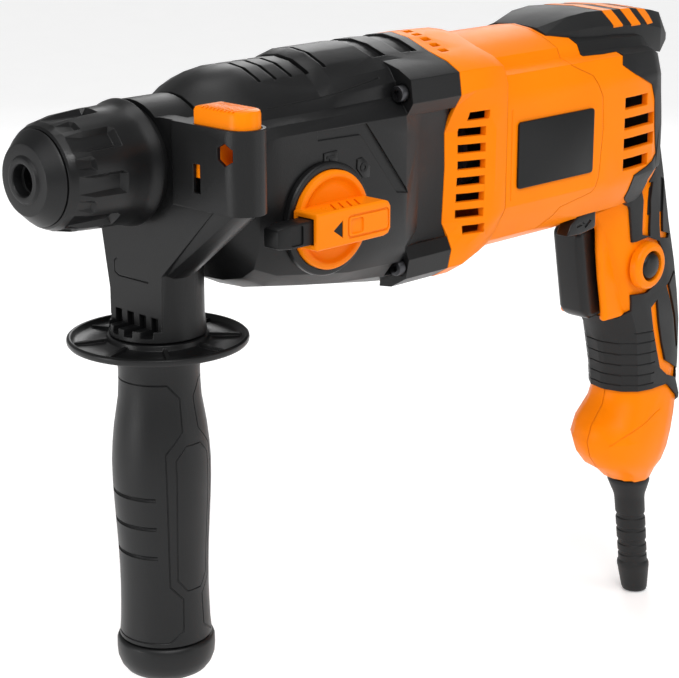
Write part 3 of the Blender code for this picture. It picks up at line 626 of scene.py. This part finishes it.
@dataclass
class Studio:
    """Camera, pale floor and soft lights."""

    camera_at: Point = (-0.4433, -0.5469, 0.1414)
    tilt: float = 73.46
    turn: float = -45.3
    lens: float = 104.85
    floor_drop: float = 0.0008
    floor_size: float = 40.0
    floor_glow: float = 0.22
    sky_power: float = 1.7
    sky_spread: float = 70.0
    sky_way: Point = (0.35, 0.55, -1.0)
    surround: float = 0.26

    LIGHTS: ClassVar[tuple] = (
        ("key", (-0.55, -0.75, 0.95), 0.4, 4.2), ("fill", (0.6, -1.2, 0.2), 0.6, 1.5),
        ("top", (0.15, 0.25, 1.2), 0.5, 2.0), ("rim", (0.9, 0.8, 0.6), 0.6, 3.0),
        ("front", (-1.3, 0.35, 0.15), 0.4, 3.6))

    def build(self) -> None:
        """Makes the camera, the lights, the world and the floor."""
        scene = bpy.context.scene
        camera = bpy.data.objects.new("camera", bpy.data.cameras.new("camera"))
        camera.data.lens = self.lens
        camera.data.sensor_width = 36
        camera.location = self.camera_at
        camera.rotation_euler = (math.radians(self.tilt), 0, math.radians(self.turn))
        scene.collection.objects.link(camera)
        scene.camera = camera
        scene.view_settings.view_transform = "Standard"
        middle = (CAD_BOX[0] + CAD_BOX[1]) / 2
        for name, offset, size, power in self.LIGHTS:
            self._light(name, middle, Vector(offset), size, power)
        self._sky()
        self._world(scene)
        self._floor()

    def _light(self, name: str, middle: Vector, offset: Vector, size: float,
               power: float) -> None:
        """A square soft light that faces the object.

        Args:
            name: the light's name.
            middle: the middle of the object.
            offset: where the light stands from there, in metres.
            size: its side, in metres.
            power: its power, in watts.
        """
        data = bpy.data.lights.new(name, "AREA")
        data.shape = "SQUARE"
        data.size = size
        data.energy = power
        lamp = bpy.data.objects.new(name, data)
        lamp.location = middle + offset
        lamp.rotation_euler = (-offset).to_track_quat("-Z", "Y").to_euler()
        bpy.context.scene.collection.objects.link(lamp)

    def _sky(self) -> None:
        """A very soft even light from high on the left, which also lights the far floor."""
        data = bpy.data.lights.new("sky", "SUN")
        data.energy = self.sky_power
        data.angle = math.radians(self.sky_spread)
        lamp = bpy.data.objects.new("sky", data)
        lamp.rotation_euler = Vector(self.sky_way).to_track_quat("-Z", "Y").to_euler()
        bpy.context.scene.collection.objects.link(lamp)

    def _world(self, scene: bpy.types.Scene) -> None:
        """A soft white surround.

        Args:
            scene: the scene it lights.
        """
        world = bpy.data.worlds.new("studio")
        world.use_nodes = True
        background = world.node_tree.nodes["Background"]
        background.inputs["Color"].default_value = (1, 1, 1, 1)
        background.inputs["Strength"].default_value = self.surround
        scene.world = world

    def _floor(self) -> None:
        """A pale floor just under the object, with a faint mottle."""
        bpy.ops.object.select_all(action="DESELECT")
        bpy.ops.mesh.primitive_plane_add(
            size=self.floor_size, location=(0, 0, CAD_BOX[0].z - self.floor_drop))
        floor = bpy.context.object
        floor.name = "floor"
        bpy.ops.object.transform_apply(location=True)
        paint = Finish("pale floor", "", (0.97, 0.97, 0.97), 0.7, grain=0.02, tint=0.01)
        material = paint.material()
        shader = material.node_tree.nodes["Principled BSDF"]
        shader.inputs["Emission Color"].default_value = (1, 1, 1, 1)
        shader.inputs["Emission Strength"].default_value = self.floor_glow
        floor.data.materials.append(material)


@dataclass
class Nose:
    """Dust cap, tool hole and pull-back sleeve."""

    steps: int = 128

    def build(self) -> None:
        """Makes the rubber cap and the ribbed sleeve."""
        profile = [(7.7, 5.3), (5.4, 5.3), (5.3, 4.9), (4.4, 4.9), (4.3, 5.6), (1.4, 5.6),
                   (0.5, 5.7), (0.1, 6.0), (0, 6.4), (0, 7.6), (0.15, 8.0), (1.0, 8.7), (1.05, 12.4),
                   (1.15, 12.75), (1.5, 13.1), (5.6, 16.5), (6.0, 16.9), (6.4, 17.1), (6.7, 17),
                   (6.8, 16.7), (6.8, 14), (13.2, 14), (13.2, 12), (7.7, 12)]
        dress(turned("nose_cap", profile, steps=self.steps), RUBBER_GRIP, "spindle", ["dust_cap"],
              22)
        sleeve = copy_of("locking_sleeve", "pull_sleeve", 0.2)
        dress(sleeve, NYLON_SMOOTH, "sleeve", ["locking_sleeve"], 24)


@dataclass
class GearCase:
    """The black front housing with its grooves, bands, tags and screws."""

    side_y: float = 36.0
    band_depth: float = 1.0
    screw_radius: float = 3.2
    socket_radius: float = 1.75

    SCREWS: ClassVar[tuple] = (("upper", 32.8, 15.6, 157), ("lower", 29.4, -54.4, 160))

    def build(self) -> None:
        """Makes the housing and its screws."""
        case = copy_of("gear_housing", "gear_case")
        for side in (-1, 1):
            combine(case, self._bands(side))
        self._ledges(case)
        dress(case, NYLON, "housing", ["gear_housing"], 24)
        self._tags()
        self._screws()

    def _bands(self, side: int) -> list[Object]:
        """Cutters for the shallow sunk bands on one side of the case.

        Args:
            side: -1 for the -Y side, 1 for the other.

        Returns:
            One cutter for each band.
        """
        low, high = sorted((side * (self.side_y - self.band_depth), side * 42))
        chevron = [(108, 7.4), (133.9, 7.2), (157.5, -23), (150.4, -21.8), (130.4, 3.4), (108, 4)]
        lower = [(78, -41), (100, -47.4), (134, -47.4), (134, -45.6), (101, -45.6), (80, -38.8)]
        return [pushed("band", chevron, Axis.Y, low, high),
                pushed("band", lower, Axis.Y, low, high)]

    def _ledges(self, case: Object) -> None:
        """Fine parting lines along the case."""
        for side in (-1, 1):
            score(case, from_side(spaced([(92, 16.6), (120, 17.4), (150, 21.5)]), side), 0.3)

    def _tags(self) -> None:
        """Two small generic setting marks above the dial."""
        shapes = [([(110.5, -1), (117.6, -0.6), (117.6, -7.6), (110.5, -8)], "hammer_tag"),
                  ([(128.2, -5.7), (131, -5.2), (135.2, -9), (135, -13.4), (131.4, -13.2),
                    (128, -9.4)], "drill_tag")]
        for outline, name in shapes:
            tag = pushed(name, outline, Axis.Y, -self.side_y - 0.45, -self.side_y + 0.8)
            soften(tag, 0.25, 2)
            dress(tag, NYLON_SMOOTH, "housing")
        mark = block("hammer_mark", (113.2, -36.7, -6.2), (114.3, -36.4, -2.4))
        head = block("head", (111.8, -36.7, -3.3), (116.2, -36.4, -2.2))
        combine(mark, [head], Cut.ADD)
        dress(mark, LABEL, "housing")
        ring = turned("drill_mark", [(-36.7, 0.9), (-36.4, 0.9), (-36.4, 1.9), (-36.7, 1.9)],
                      Axis.Y, (131.6, -9.2), 24)
        dress(ring, LABEL, "housing")

    def _screws(self) -> None:
        """Hex-socket screws in their pockets."""
        for side, word in ((-1, "left"), (1, "right")):
            for height, y, z, face in self.SCREWS:
                x, r = face - 0.4, self.screw_radius
                profile = [(x - 3.2, 0), (x - 3.2, r - 0.5), (x - 3.1, r - 0.2), (x - 2.7, r),
                           (x, r), (x, 0)]
                name = f"housing_screw_{height}_{word}"
                screw = turned(f"{name}_head", profile, Axis.X, (side * y, z), 40)
                socket = [(side * y + self.socket_radius * math.cos(math.pi / 3 * i),
                           z + self.socket_radius * math.sin(math.pi / 3 * i)) for i in range(6)]
                combine(screw, [pushed("socket", socket, Axis.X, x - 4, x - 1.2)])
                dress(screw, DARK_STEEL, "housing", [name])


@dataclass
class MotorCase:
    """The orange vent ring, the motor housing and its blank label."""

    label: Point = (221.8, 271.7, -31.5, -3.7)
    label_face: float = -37.7
    label_back: float = -36.75
    joint_line: float = 218.4

    def build(self) -> None:
        """Makes the ring, the housing and the label."""
        dress(copy_of("vent_ring", "vent_collar"), ORANGE, "housing", ["vent_ring"], 24)
        case = copy_of("motor_housing", "motor_case")
        for side in (-1, 1):
            score(case, from_side(spaced([(self.joint_line, 2), (self.joint_line, -36)]), side), 0.35)
        dress(case, ORANGE, "housing", ["motor_housing"], 24)
        x0, x1, z0, z1 = self.label
        outline = oblong((x0 + x1) / 2, (z0 + z1) / 2, (x1 - x0) / 2, (z1 - z0) / 2, 1.6)
        label = pushed("blank_label", outline, Axis.Y, self.label_face, self.label_back)
        soften(label, 0.2, 2)
        dress(label, LABEL, "housing", ["label_plate"])


@dataclass
class Handle:
    """Handle shells, rear skin, grip cover and top pad."""

    skin: float = 0.7
    groove: float = 0.42
    grip_x: float = 356.0
    draw_start: float = 320.0
    draw_length: float = 22.0
    half_width: float = 60.0
    seam: float = 0.3
    pad_back: float = 346.0
    pad_lift: float = 6.2
    bar_width: float = 6.6

    SKIN_EDGE: ClassVar[list[Point]] = [
        (273.8, 30), (273.8, 17.3), (296.9, 16.7), (294.9, 11.9), (302.5, 7.4), (316.4, 1.4),
        (319.3, -5.4), (321.4, -17.7), (323.6, -26.2), (325.6, -31.8), (314.5, -36.0),
        (304, -38.2), (305.2, -42.6), (307, -49), (309, -50.6), (320, -56.4), (324.3, -63),
        (360, -63), (360, 30)]
    INLAY: ClassVar[list[Point]] = [
        (328.5, -36.9), (318.7, -41.8), (325.5, -47.9), (329.4, -55.3), (331.5, -64),
        (336.4, -64), (335.1, -56.1), (334.7, -50.6), (338.5, -44.9)]
    RIDGE: ClassVar[list[Point]] = [(327.6, -177.2), (335.1, -171.7), (349.3, -166.3),
                                    (357.7, -163.7)]
    WAIST: ClassVar[list[Point]] = [(30, 0), (16, 6), (10, 7), (2.6, 7.6), (-4.6, 5.4),
                                    (-12, 2.2), (-19, 0)]
    WAIST_ROWS: ClassVar[Values] = (16, 10, 6, 2.6, -1, -4.6, -8, -12, -16, -19)
    WAIST_STATIONS: ClassVar[Values] = (324, 328, 334)
    RIBS: ClassVar[Values] = (-127.6, -133.3, -138.9, -144.3, -149.4)
    TOP_RIB: ClassVar[float] = -122.4
    PAD_BARS: ClassVar[Values] = (302.5, 316, 329)

    def build(self) -> None:
        """Makes every piece of the handle."""
        for side, word in ((-1, "left"), (1, "right")):
            shell = copy_of(f"handle_shell_{word}", f"handle_half_{word}")
            self._waisted(shell)
            combine(shell, [self._cheek(side)], Cut.ADD)
            score(shell, from_side(spaced(self.RIDGE), side), 0.25)
            dress(shell, ORANGE, "housing", [f"handle_shell_{word}"], 40)
            self._rear_skin(side, word)
        self._cover()
        self._pad()

    def _waisted(self, piece: Object) -> None:
        """Draws the back of the head in under the pad.

        Args:
            piece: the shell or skin that is drawn in.
        """
        pick(piece)
        bpy.ops.object.mode_set(mode="EDIT")
        cuts = [((0, 0, z), Axis.Z.value) for z in self.WAIST_ROWS]
        cuts += [((x, 0, 0), Axis.X.value) for x in self.WAIST_STATIONS]
        for at, way in cuts:
            bpy.ops.mesh.select_all(action="SELECT")
            bpy.ops.mesh.bisect(plane_co=station(*at), plane_no=way)
        bpy.ops.object.mode_set(mode="OBJECT")
        for vertex in piece.data.vertices:
            x, z = (vertex.co.x - NOSE) / MM, vertex.co.z / MM
            along = min(1.0, max(0.0, (x - self.draw_start) / self.draw_length))
            vertex.co.x -= self._draw(z) * along * along * MM

    def _draw(self, z: float) -> float:
        """How far the back of the head is drawn in at a height.

        Args:
            z: the height, in millimetres.

        Returns:
            The distance, in millimetres.
        """
        for (z0, d0), (z1, d1) in zip(self.WAIST, self.WAIST[1:]):
            if z1 <= z <= z0:
                return d1 + (d0 - d1) * (z - z1) / (z0 - z1)
        return 0.0

    def _cheek(self, side: int) -> Object:
        """The rounded cheek that stands forward beside the trigger.

        Args:
            side: -1 for the -Y side, 1 for the other.

        Returns:
            The cheek, ready to be joined to the handle half.
        """
        outline = [(311.2, -58), (310.6, -66), (311.4, -78), (313.6, -92), (316.2, -104),
                   (317.2, -109.5), (316.4, -112.6), (334, -112.9), (334, -58)]
        low, high = sorted((side * 9.4, side * 13.6))
        return soften(pushed("cheek", outline, Axis.Y, low, high), 2.0, 4, 50)

    def _rear_skin(self, side: int, word: str) -> None:
        """The soft skin that wraps the back of the head.

        Args:
            side: -1 for the -Y side, 1 for the other.
            word: the side's name.
        """
        skin = copy_of(f"handle_shell_{word}", f"rear_skin_{word}")
        low, high = sorted((side * self.seam, side * self.half_width))
        combine(skin, [pushed("edge", self.SKIN_EDGE, Axis.Y, low, high)], Cut.KEEP)
        combine(skin, [pushed("inlay", self.INLAY, Axis.Y, low, high)])
        self._waisted(skin)
        swell(skin, self.skin)
        dress(skin, RUBBER, "housing", angle=28)

    def _cover(self) -> None:
        """The grip cover with its finger ribs."""
        cover = copy_of("grip_cover", "grip_skin")
        for z in self.RIBS:
            path = spaced([(100, z), (260, z)], 3)
            score(cover, round_axis(path, self.grip_x), self.groove)
        for start, end in ((100, 140), (220, 260)):
            path = spaced([(start, self.TOP_RIB), (end, self.TOP_RIB)], 3)
            score(cover, round_axis(path, self.grip_x), self.groove)
        dress(cover, RUBBER, "housing", ["grip_cover"], 28)

    def _pad(self) -> None:
        """The top pad with three bright bars let into it."""
        pad = copy_of("top_pad", "rear_pad")
        pick(pad)
        bpy.ops.object.mode_set(mode="EDIT")
        bpy.ops.mesh.select_all(action="SELECT")
        bpy.ops.mesh.convex_hull()
        bpy.ops.object.mode_set(mode="OBJECT")
        for vertex in pad.data.vertices:
            if (vertex.co.x - NOSE) / MM > self.pad_back and vertex.co.z / MM < self.WAIST[1][0]:
                vertex.co.z += self.pad_lift * MM
        soften(pad, 1.2, 3, 12)
        for i, x in enumerate(self.PAD_BARS):
            bar = pad.copy()
            bar.data = pad.data.copy()
            bar.name = f"pad_bar_{i}"
            bpy.context.scene.collection.objects.link(bar)
            low = 26.0 - 0.6 * i
            combine(bar, [block("bar", (x, -30, low), (x + self.bar_width, 30, 40))], Cut.KEEP)
            swell(bar, 0.25)
            dress(bar, ORANGE_SMALL, "housing", angle=28)
        dress(pad, RUBBER, "housing", ["top_pad"], 28)


@dataclass
class CordBoot:
    """The ribbed cord sleeve on its leaning axis."""

    top: Point = (359.2, -203.0)
    end: Point = (368.5, -266.0)
    steps: int = 64

    def build(self) -> None:
        """Turns the boot upright, then slants it to its axis."""
        rows = [(0, 10.1), (0.012, 10.4), (0.03, 10.35), (0.045, 10), (0.07, 9.5), (0.13, 8.2),
                (0.16, 7.7), (0.19, 7.5), (0.3, 7.4), (0.312, 7.3), (0.318, 6.8), (0.35, 6.8),
                (0.356, 7.3), (0.37, 7.4), (0.43, 7.4), (0.436, 6.9), (0.46, 6.9), (0.466, 7.4),
                (0.54, 7.35), (0.548, 6.8), (0.585, 6.8), (0.593, 7.3), (0.65, 7.3),
                (0.656, 6.8), (0.68, 6.8), (0.686, 7.25), (0.735, 7.2), (0.75, 7.8),
                (0.765, 8), (0.79, 8), (0.8, 7.85), (0.96, 6.65), (0.985, 6.4), (1, 6), (1, 3.6),
                (0.7, 3.6), (0.7, 0), (0, 0)]
        length = self.end[1] - self.top[1]
        profile = [(self.top[1] + place * length, radius) for place, radius in rows]
        profile = [(profile[0][0], 0)] + profile[:-1]
        boot = turned("cord_sleeve", profile, Axis.Z, (self.top[0], 0), self.steps)
        slope = (self.end[0] - self.top[0]) / length
        for vertex in boot.data.vertices:
            vertex.co.x += slope * (vertex.co.z - self.top[1] * MM)
        dress(boot, RUBBER, "housing", ["cord_boot"], 30)


@dataclass
class SwitchGroup:
    """Trigger, direction lever and lock-on button."""

    button: Point = (337.0, -87.5)

    def build(self) -> None:
        """Makes the trigger, the lever, the ring and the button."""
        outline = [(301.5, -69), (304.5, -67.2), (312, -67), (319.5, -67.6), (325, -111),
                   (314.5, -112), (311, -111), (308.5, -107)]
        trigger = pushed("trigger_blade", outline, Axis.Y, -8.2, 8.2)
        soften(trigger, 3.4, 6, 30)
        dress(trigger, NYLON_SMOOTH, "switch_trigger", ["trigger"], 40)
        self._lever()
        ring = [(-19.8, 7.2), (-19.8, 11.2), (-22.6, 11.2), (-23.2, 11), (-23.8, 10.5),
                (-24.5, 9.7), (-24.6, 9.2), (-24.6, 7.6), (-24.3, 7.2)]
        dress(turned("lock_ring", ring, Axis.Y, self.button), ORANGE_SMALL, "housing",
              ["lock_button_ring"], 30)
        dome = [(-25.3, 0), (-25.25, 1.8), (-25.05, 3.4), (-24.7, 4.7), (-24.2, 5.6),
                (-23.4, 6.3), (-22.6, 6.4), (-11, 6.4), (-11, 0)]
        dress(turned("lock_dome", dome, Axis.Y, self.button), NYLON_SMOOTH, "lock_on",
              ["lock_button"], 40)

    def _lever(self) -> None:
        """The direction lever: a bar through the handle with a wedge plate at each end."""
        lever = block("reverser_lever", (286, -21.5, -60.6), (293, 21.5, -55))
        plate = [(268.4, -61.4), (271.2, -56.6), (276, -53.4), (287.2, -51.8), (288.4, -52.6),
                 (288.6, -59.4), (287.6, -60.6), (278, -61.8)]
        mark = [(275, -57), (279.4, -56.2), (281, -57.6), (283.8, -55.8), (285.4, -56.6),
                (281.4, -59.4), (279.2, -57.8), (275.2, -58.4)]
        for side in (-1, 1):
            low, high = sorted((side * 21, side * 27.6))
            end = soften(pushed("plate", plate, Axis.Y, low, high), 0.8, 3, 30)
            combine(lever, [end], Cut.ADD)
            low, high = sorted((side * 27.1, side * 31))
            combine(lever, [pushed("mark", mark, Axis.Y, low, high)])
        dress(lever, NYLON_SMOOTH, "reverser", ["direction_lever"], 30)


@dataclass
class ModeDial:
    """The mode dial, its seat and its release button."""

    x: float = 111.0
    z: float = -25.5
    face: float = -52.0
    radius: float = 18.8

    def build(self) -> None:
        """Makes the seat, the dished disc with its bar, and the button."""
        centre = (self.x, self.z)
        seat = [(-38.9, 19.1), (-38.9, 20.6), (-38.7, 21.1), (-38.1, 21.5), (-36.3, 21.6),
                (-36.3, 19.1)]
        dress(turned("dial_seat", seat, Axis.Y, centre), NYLON_SMOOTH, "housing", ["dial_base"],
              30)
        disc = [(-36.5, 0), (-36.5, 18.6), (-40.4, 18.8), (-41.0, 18.5), (-41.3, 17.9),
                (-41.3, 16.6), (-41.1, 16.1), (-40.4, 15.5), (-39.8, 14.4), (-39.6, 12.5),
                (-39.6, 0)]
        dial = turned("dial_knob", disc, Axis.Y, centre)
        combine(dial, [self._bar()], Cut.ADD)
        combine(dial, self._cuts())
        dress(dial, ORANGE_SMALL, "dial", ["mode_dial"], 30)
        inlay = pushed("dial_arrow", self._arrow(0.15), Axis.Y, self.face + 0.35, self.face + 1.2)
        dress(inlay, LABEL, "dial")
        button = copy_of("dial_button", "dial_latch")
        combine(button, [pushed("dish", oblong(self.x - 27.5, self.z, 3.0, 3.6, 0.8), Axis.Y,
                                -52, -49.3)])
        dress(button, LABEL, "dial_release", ["dial_button"], 30)

    def _bar(self) -> Object:
        """The raised grip bar across the disc, rounded along its edges.

        Returns:
            The bar, ready to be joined to the disc.
        """
        x, z = self.x, self.z
        outline = [(x - 19.6, z - 6.9), (x + 15.6, z - 6.9), (x + 18.2, z - 6.2),
                   (x + 19.4, z - 4.2), (x + 19.4, z + 4.2), (x + 18.2, z + 6.2),
                   (x + 15.6, z + 6.9), (x - 19.6, z + 6.9)]
        return soften(pushed("bar", outline, Axis.Y, self.face, -39.3), 0.9, 3, 40)

    def _arrow(self, inset: float) -> list[Point]:
        """The pointer's three corners.

        Args:
            inset: how far they are drawn in, in millimetres.

        Returns:
            The corners, as (x, z) points.
        """
        x, z = self.x, self.z
        return [(x - 11.2 + 2 * inset, z - 0.5), (x - 6.2 - inset, z + 2.9 - 1.6 * inset),
                (x - 6.2 - inset, z - 3.9 + 1.6 * inset)]

    def _cuts(self) -> list[Object]:
        """The latch way, the arrow, the ridges and the dished thumb pad.

        Returns:
            A cutter for each of them.
        """
        x, z, face = self.x, self.z, self.face
        cuts = [block("way", (x - 25, -50.2, z - 4.9), (x - 7.4, -41.7, z + 4.9))]
        cuts.append(pushed("arrow", self._arrow(0), Axis.Y, face - 1, face + 0.9))
        outer = oblong(x + 7.2, z - 0.4, 11.0, 4.4, 1.6)
        inner = oblong(x + 7.2, z - 0.4, 10.2, 3.6, 1.2)
        moat = pushed("moat", outer, Axis.Y, face - 1, face + 0.5)
        combine(moat, [pushed("island", inner, Axis.Y, face - 2, face + 2)])
        cuts.append(moat)
        cuts.append(soften(pushed("thumb", oblong(x + 1.2, z - 0.4, 3.4, 2.9, 1.2), Axis.Y,
                                  face - 1, face + 0.9), 0.4, 2, 60))
        for i in range(4):
            place = x - 9 + 4.2 * i
            ridge = [(place, face + 1.6), (place + 0.9, face + 1.6), (place + 5.8, -42.5),
                     (place + 4.9, -42.5)]
            cuts.append(pushed("ridge", ridge, Axis.Z, z + 6.2, z + 8))
        return cuts


@dataclass
class SideHandle:
    """Clamp bracket, depth key, hand guard and grip."""

    x: float = 59.0
    steps: int = 144
    ribs: int = 9
    rib_gap: float = 1.9
    rib_width: float = 0.75
    spokes: int = 8
    spoke_turn: float = 12.0

    FINGER_ROWS: ClassVar[Values] = (-126.8, -138.6, -150.6)

    def build(self) -> None:
        """Makes the bracket, the key, the guard, the grip and its cap."""
        self._bracket()
        self._key()
        self._guard()
        self._grip()
        cap = [(-188, 0), (-188, 18.0), (-188.3, 18.5), (-189.6, 19), (-193, 19.05),
               (-196, 18.8), (-199, 17.7), (-201.3, 16), (-202.6, 13.8), (-203.2, 11), (-203.4, 8),
               (-203.4, 0)]
        dress(turned("grip_cap", cap, Axis.Z, (self.x, 0), self.steps), RUBBER_GRIP,
              "handle_grip", ["grip_end_cap"], 40)

    def _bracket(self) -> None:
        """The clamp bracket with its face lines."""
        bracket = copy_of("side_bracket", "clamp_bracket")
        line = [(10, -37.8), (11.5, -38.9), (11.4, -43.1), (9.1, -44.2), (-7.5, -44.1)]
        for y0, z0, y1, z1 in [(*a, *b) for a, b in zip(line, line[1:])]:
            way = Vector((y1 - y0, z1 - z0)).normalized() * 0.25
            side = Vector((-way.y, way.x)) * 0.9
            corners = [(y0 - way.x + side.x, z0 - way.y + side.y),
                       (y1 + way.x + side.x, z1 + way.y + side.y),
                       (y1 + way.x - side.x, z1 + way.y - side.y),
                       (y0 - way.x - side.x, z0 - way.y - side.y)]
            combine(bracket, [pushed("line", corners, Axis.X, 47, 48.95)])
        dress(bracket, NYLON, "side_handle", ["side_bracket"], 28)

    def _key(self) -> None:
        """The depth-rod key with ribs cut across its top."""
        key = copy_of("depth_button", "depth_key")
        low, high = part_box("depth_button")
        middle = (low + high) / 2 / MM - Vector((NOSE / MM, 0, 0))
        top = high.z / MM
        for i in range(self.ribs):
            y = middle.y - 7.6 + self.rib_gap * i
            outline = [(middle.x - 6.4, y), (middle.x + 6.4, y),
                       (middle.x + 6.4, y + self.rib_width), (middle.x - 6.4, y + self.rib_width)]
            combine(key, [pushed("rib", outline, Axis.Z, top - self.rib_width, top + 2)])
        dress(key, ORANGE_SMALL, "rod_release", ["depth_button"], 32)

    def _guard(self) -> None:
        """The dished hand guard with its spokes."""
        profile = [(-70.2, 6.5), (-70.2, 17), (-70.7, 21), (-71, 24), (-70.7, 28), (-69.8, 33.6),
                   (-69.2, 34.05), (-68.4, 34.2), (-67.6, 34.05), (-67.2, 33.6), (-67.05, 33.1),
                   (-67.2, 32.6), (-68.0, 32.0), (-68.9, 31.4), (-69.4, 30.4), (-69.2, 24),
                   (-68.9, 20.4), (-68.2, 19.4), (-66.5, 18.9), (-66.2, 18.4), (-66.2, 6.5)]
        guard = turned("hand_rest", profile, Axis.Z, (self.x, 0), self.steps)
        for i in range(self.spokes):
            spoke = pushed("spoke", [(18.6, -70.2), (31.6, -70.2), (31.6, -68.6), (18.6, -67.4)],
                           Axis.Y, -0.8, 0.8)
            angle = FULL_TURN / self.spokes * i + math.radians(self.spoke_turn)
            spoke.data.transform(Matrix.Translation(-station(0, 0, 0)))
            spoke.data.transform(Matrix.Rotation(angle, 4, "Z"))
            spoke.data.transform(Matrix.Translation(station(self.x, 0, 0)))
            combine(guard, [spoke], Cut.ADD)
        dress(guard, NYLON_SMOOTH, "handle_grip", ["hand_guard"], 32)

    def _grip(self) -> None:
        """The rubber grip with finger grooves and panel lines."""
        rows = [(-70.6, 16.6), (-72, 16.5), (-74, 16.2), (-77, 15.7), (-80, 15.4), (-85, 15.45),
                (-91, 15.8), (-96.5, 16.7), (-102, 17.6), (-109, 18.35), (-116, 18.8),
                (-124, 18.75), (-132, 18.4), (-141, 17.9), (-150, 17.4), (-159, 17.1),
                (-168, 17), (-175, 17.15), (-182, 17.4), (-185.5, 17.7), (-187.2, 17.9),
                (-187.6, 17.5), (-187.6, 6.5), (-70.6, 6.5)]
        grip = turned("rubber_grip", rows, Axis.Z, (self.x, 0), self.steps)
        for z in self.FINGER_ROWS:
            score(grip, round_axis(spaced([(142, z), (222, z)], 4), self.x), 0.9)
        panels = [(self._octagon(middle, 25, -106.5, -165.2), 0.32) for middle in (272, 88)]
        panels += [(self._waist(middle), 0.36) for middle in (180, 0)]
        for corners, radius in panels:
            score(grip, round_axis(spaced(corners, 3.0, True), self.x), radius, True)
        dress(grip, RUBBER_GRIP, "handle_grip", ["side_grip"], 30)

    def _octagon(self, middle: float, half: float, top: float, bottom: float) -> list[Point]:
        """A long eight-sided panel.

        Args:
            middle: the panel's middle, in degrees round the grip.
            half: half its width, in degrees.
            top: its upper end, in millimetres.
            bottom: its lower end.

        Returns:
            Its corners, as (degrees, z) points.
        """
        cut, nip = half * 0.45, 5.0
        return [(middle - half, top - nip), (middle - cut, top), (middle + cut, top),
                (middle + half, top - nip), (middle + half, bottom + nip), (middle + cut, bottom),
                (middle - cut, bottom), (middle - half, bottom + nip)]

    def _waist(self, middle: float) -> list[Point]:
        """A palm panel that narrows along its middle.

        Args:
            middle: the panel's middle, in degrees round the grip.

        Returns:
            Its corners, as (degrees, z) points.
        """
        right = [(60, -82.8), (78, -88.5), (77, -101), (55, -108.8), (57, -162.6), (74, -168.3),
                 (73, -181.3), (54, -185.6)]
        return ([(middle + a, z) for a, z in right]
                + [(middle - a, z) for a, z in reversed(right)])


@dataclass
class Internals:
    """The metal and moulded parts inside, kept as the CAD has them."""

    def dress(self) -> None:
        """Gives every CAD node that still shows its procedural finish."""
        finishes = {f.slot: f for f in (NYLON, ORANGE, RUBBER, LABEL, STEEL, DARK_STEEL, ALUMINIUM,
                                        COPPER, CARBON)}
        slots = {p["node"]: p["material_slot"] for p in frame["record"]["subparts"]}
        for name, node in frame["nodes"].items():
            finish = finishes[slots[name]].material()
            if not node.material_slots:
                continue
            for place in node.material_slots:
                place.link = "OBJECT"
                place.material = finish
            LOG.info("%s: dressed", name)


def main() -> None:
    """Builds the object from the nose back."""
    logging.basicConfig(level=logging.INFO, format="%(name)s %(message)s")
    Studio().build()
    Internals().dress()
    for part in (Nose(), GearCase(), MotorCase(), Handle(), CordBoot(), SwitchGroup(), ModeDial(),
                 SideHandle()):
        part.build()
        LOG.info("%s done", type(part).__name__)


if __name__ == "__main__":
    main()
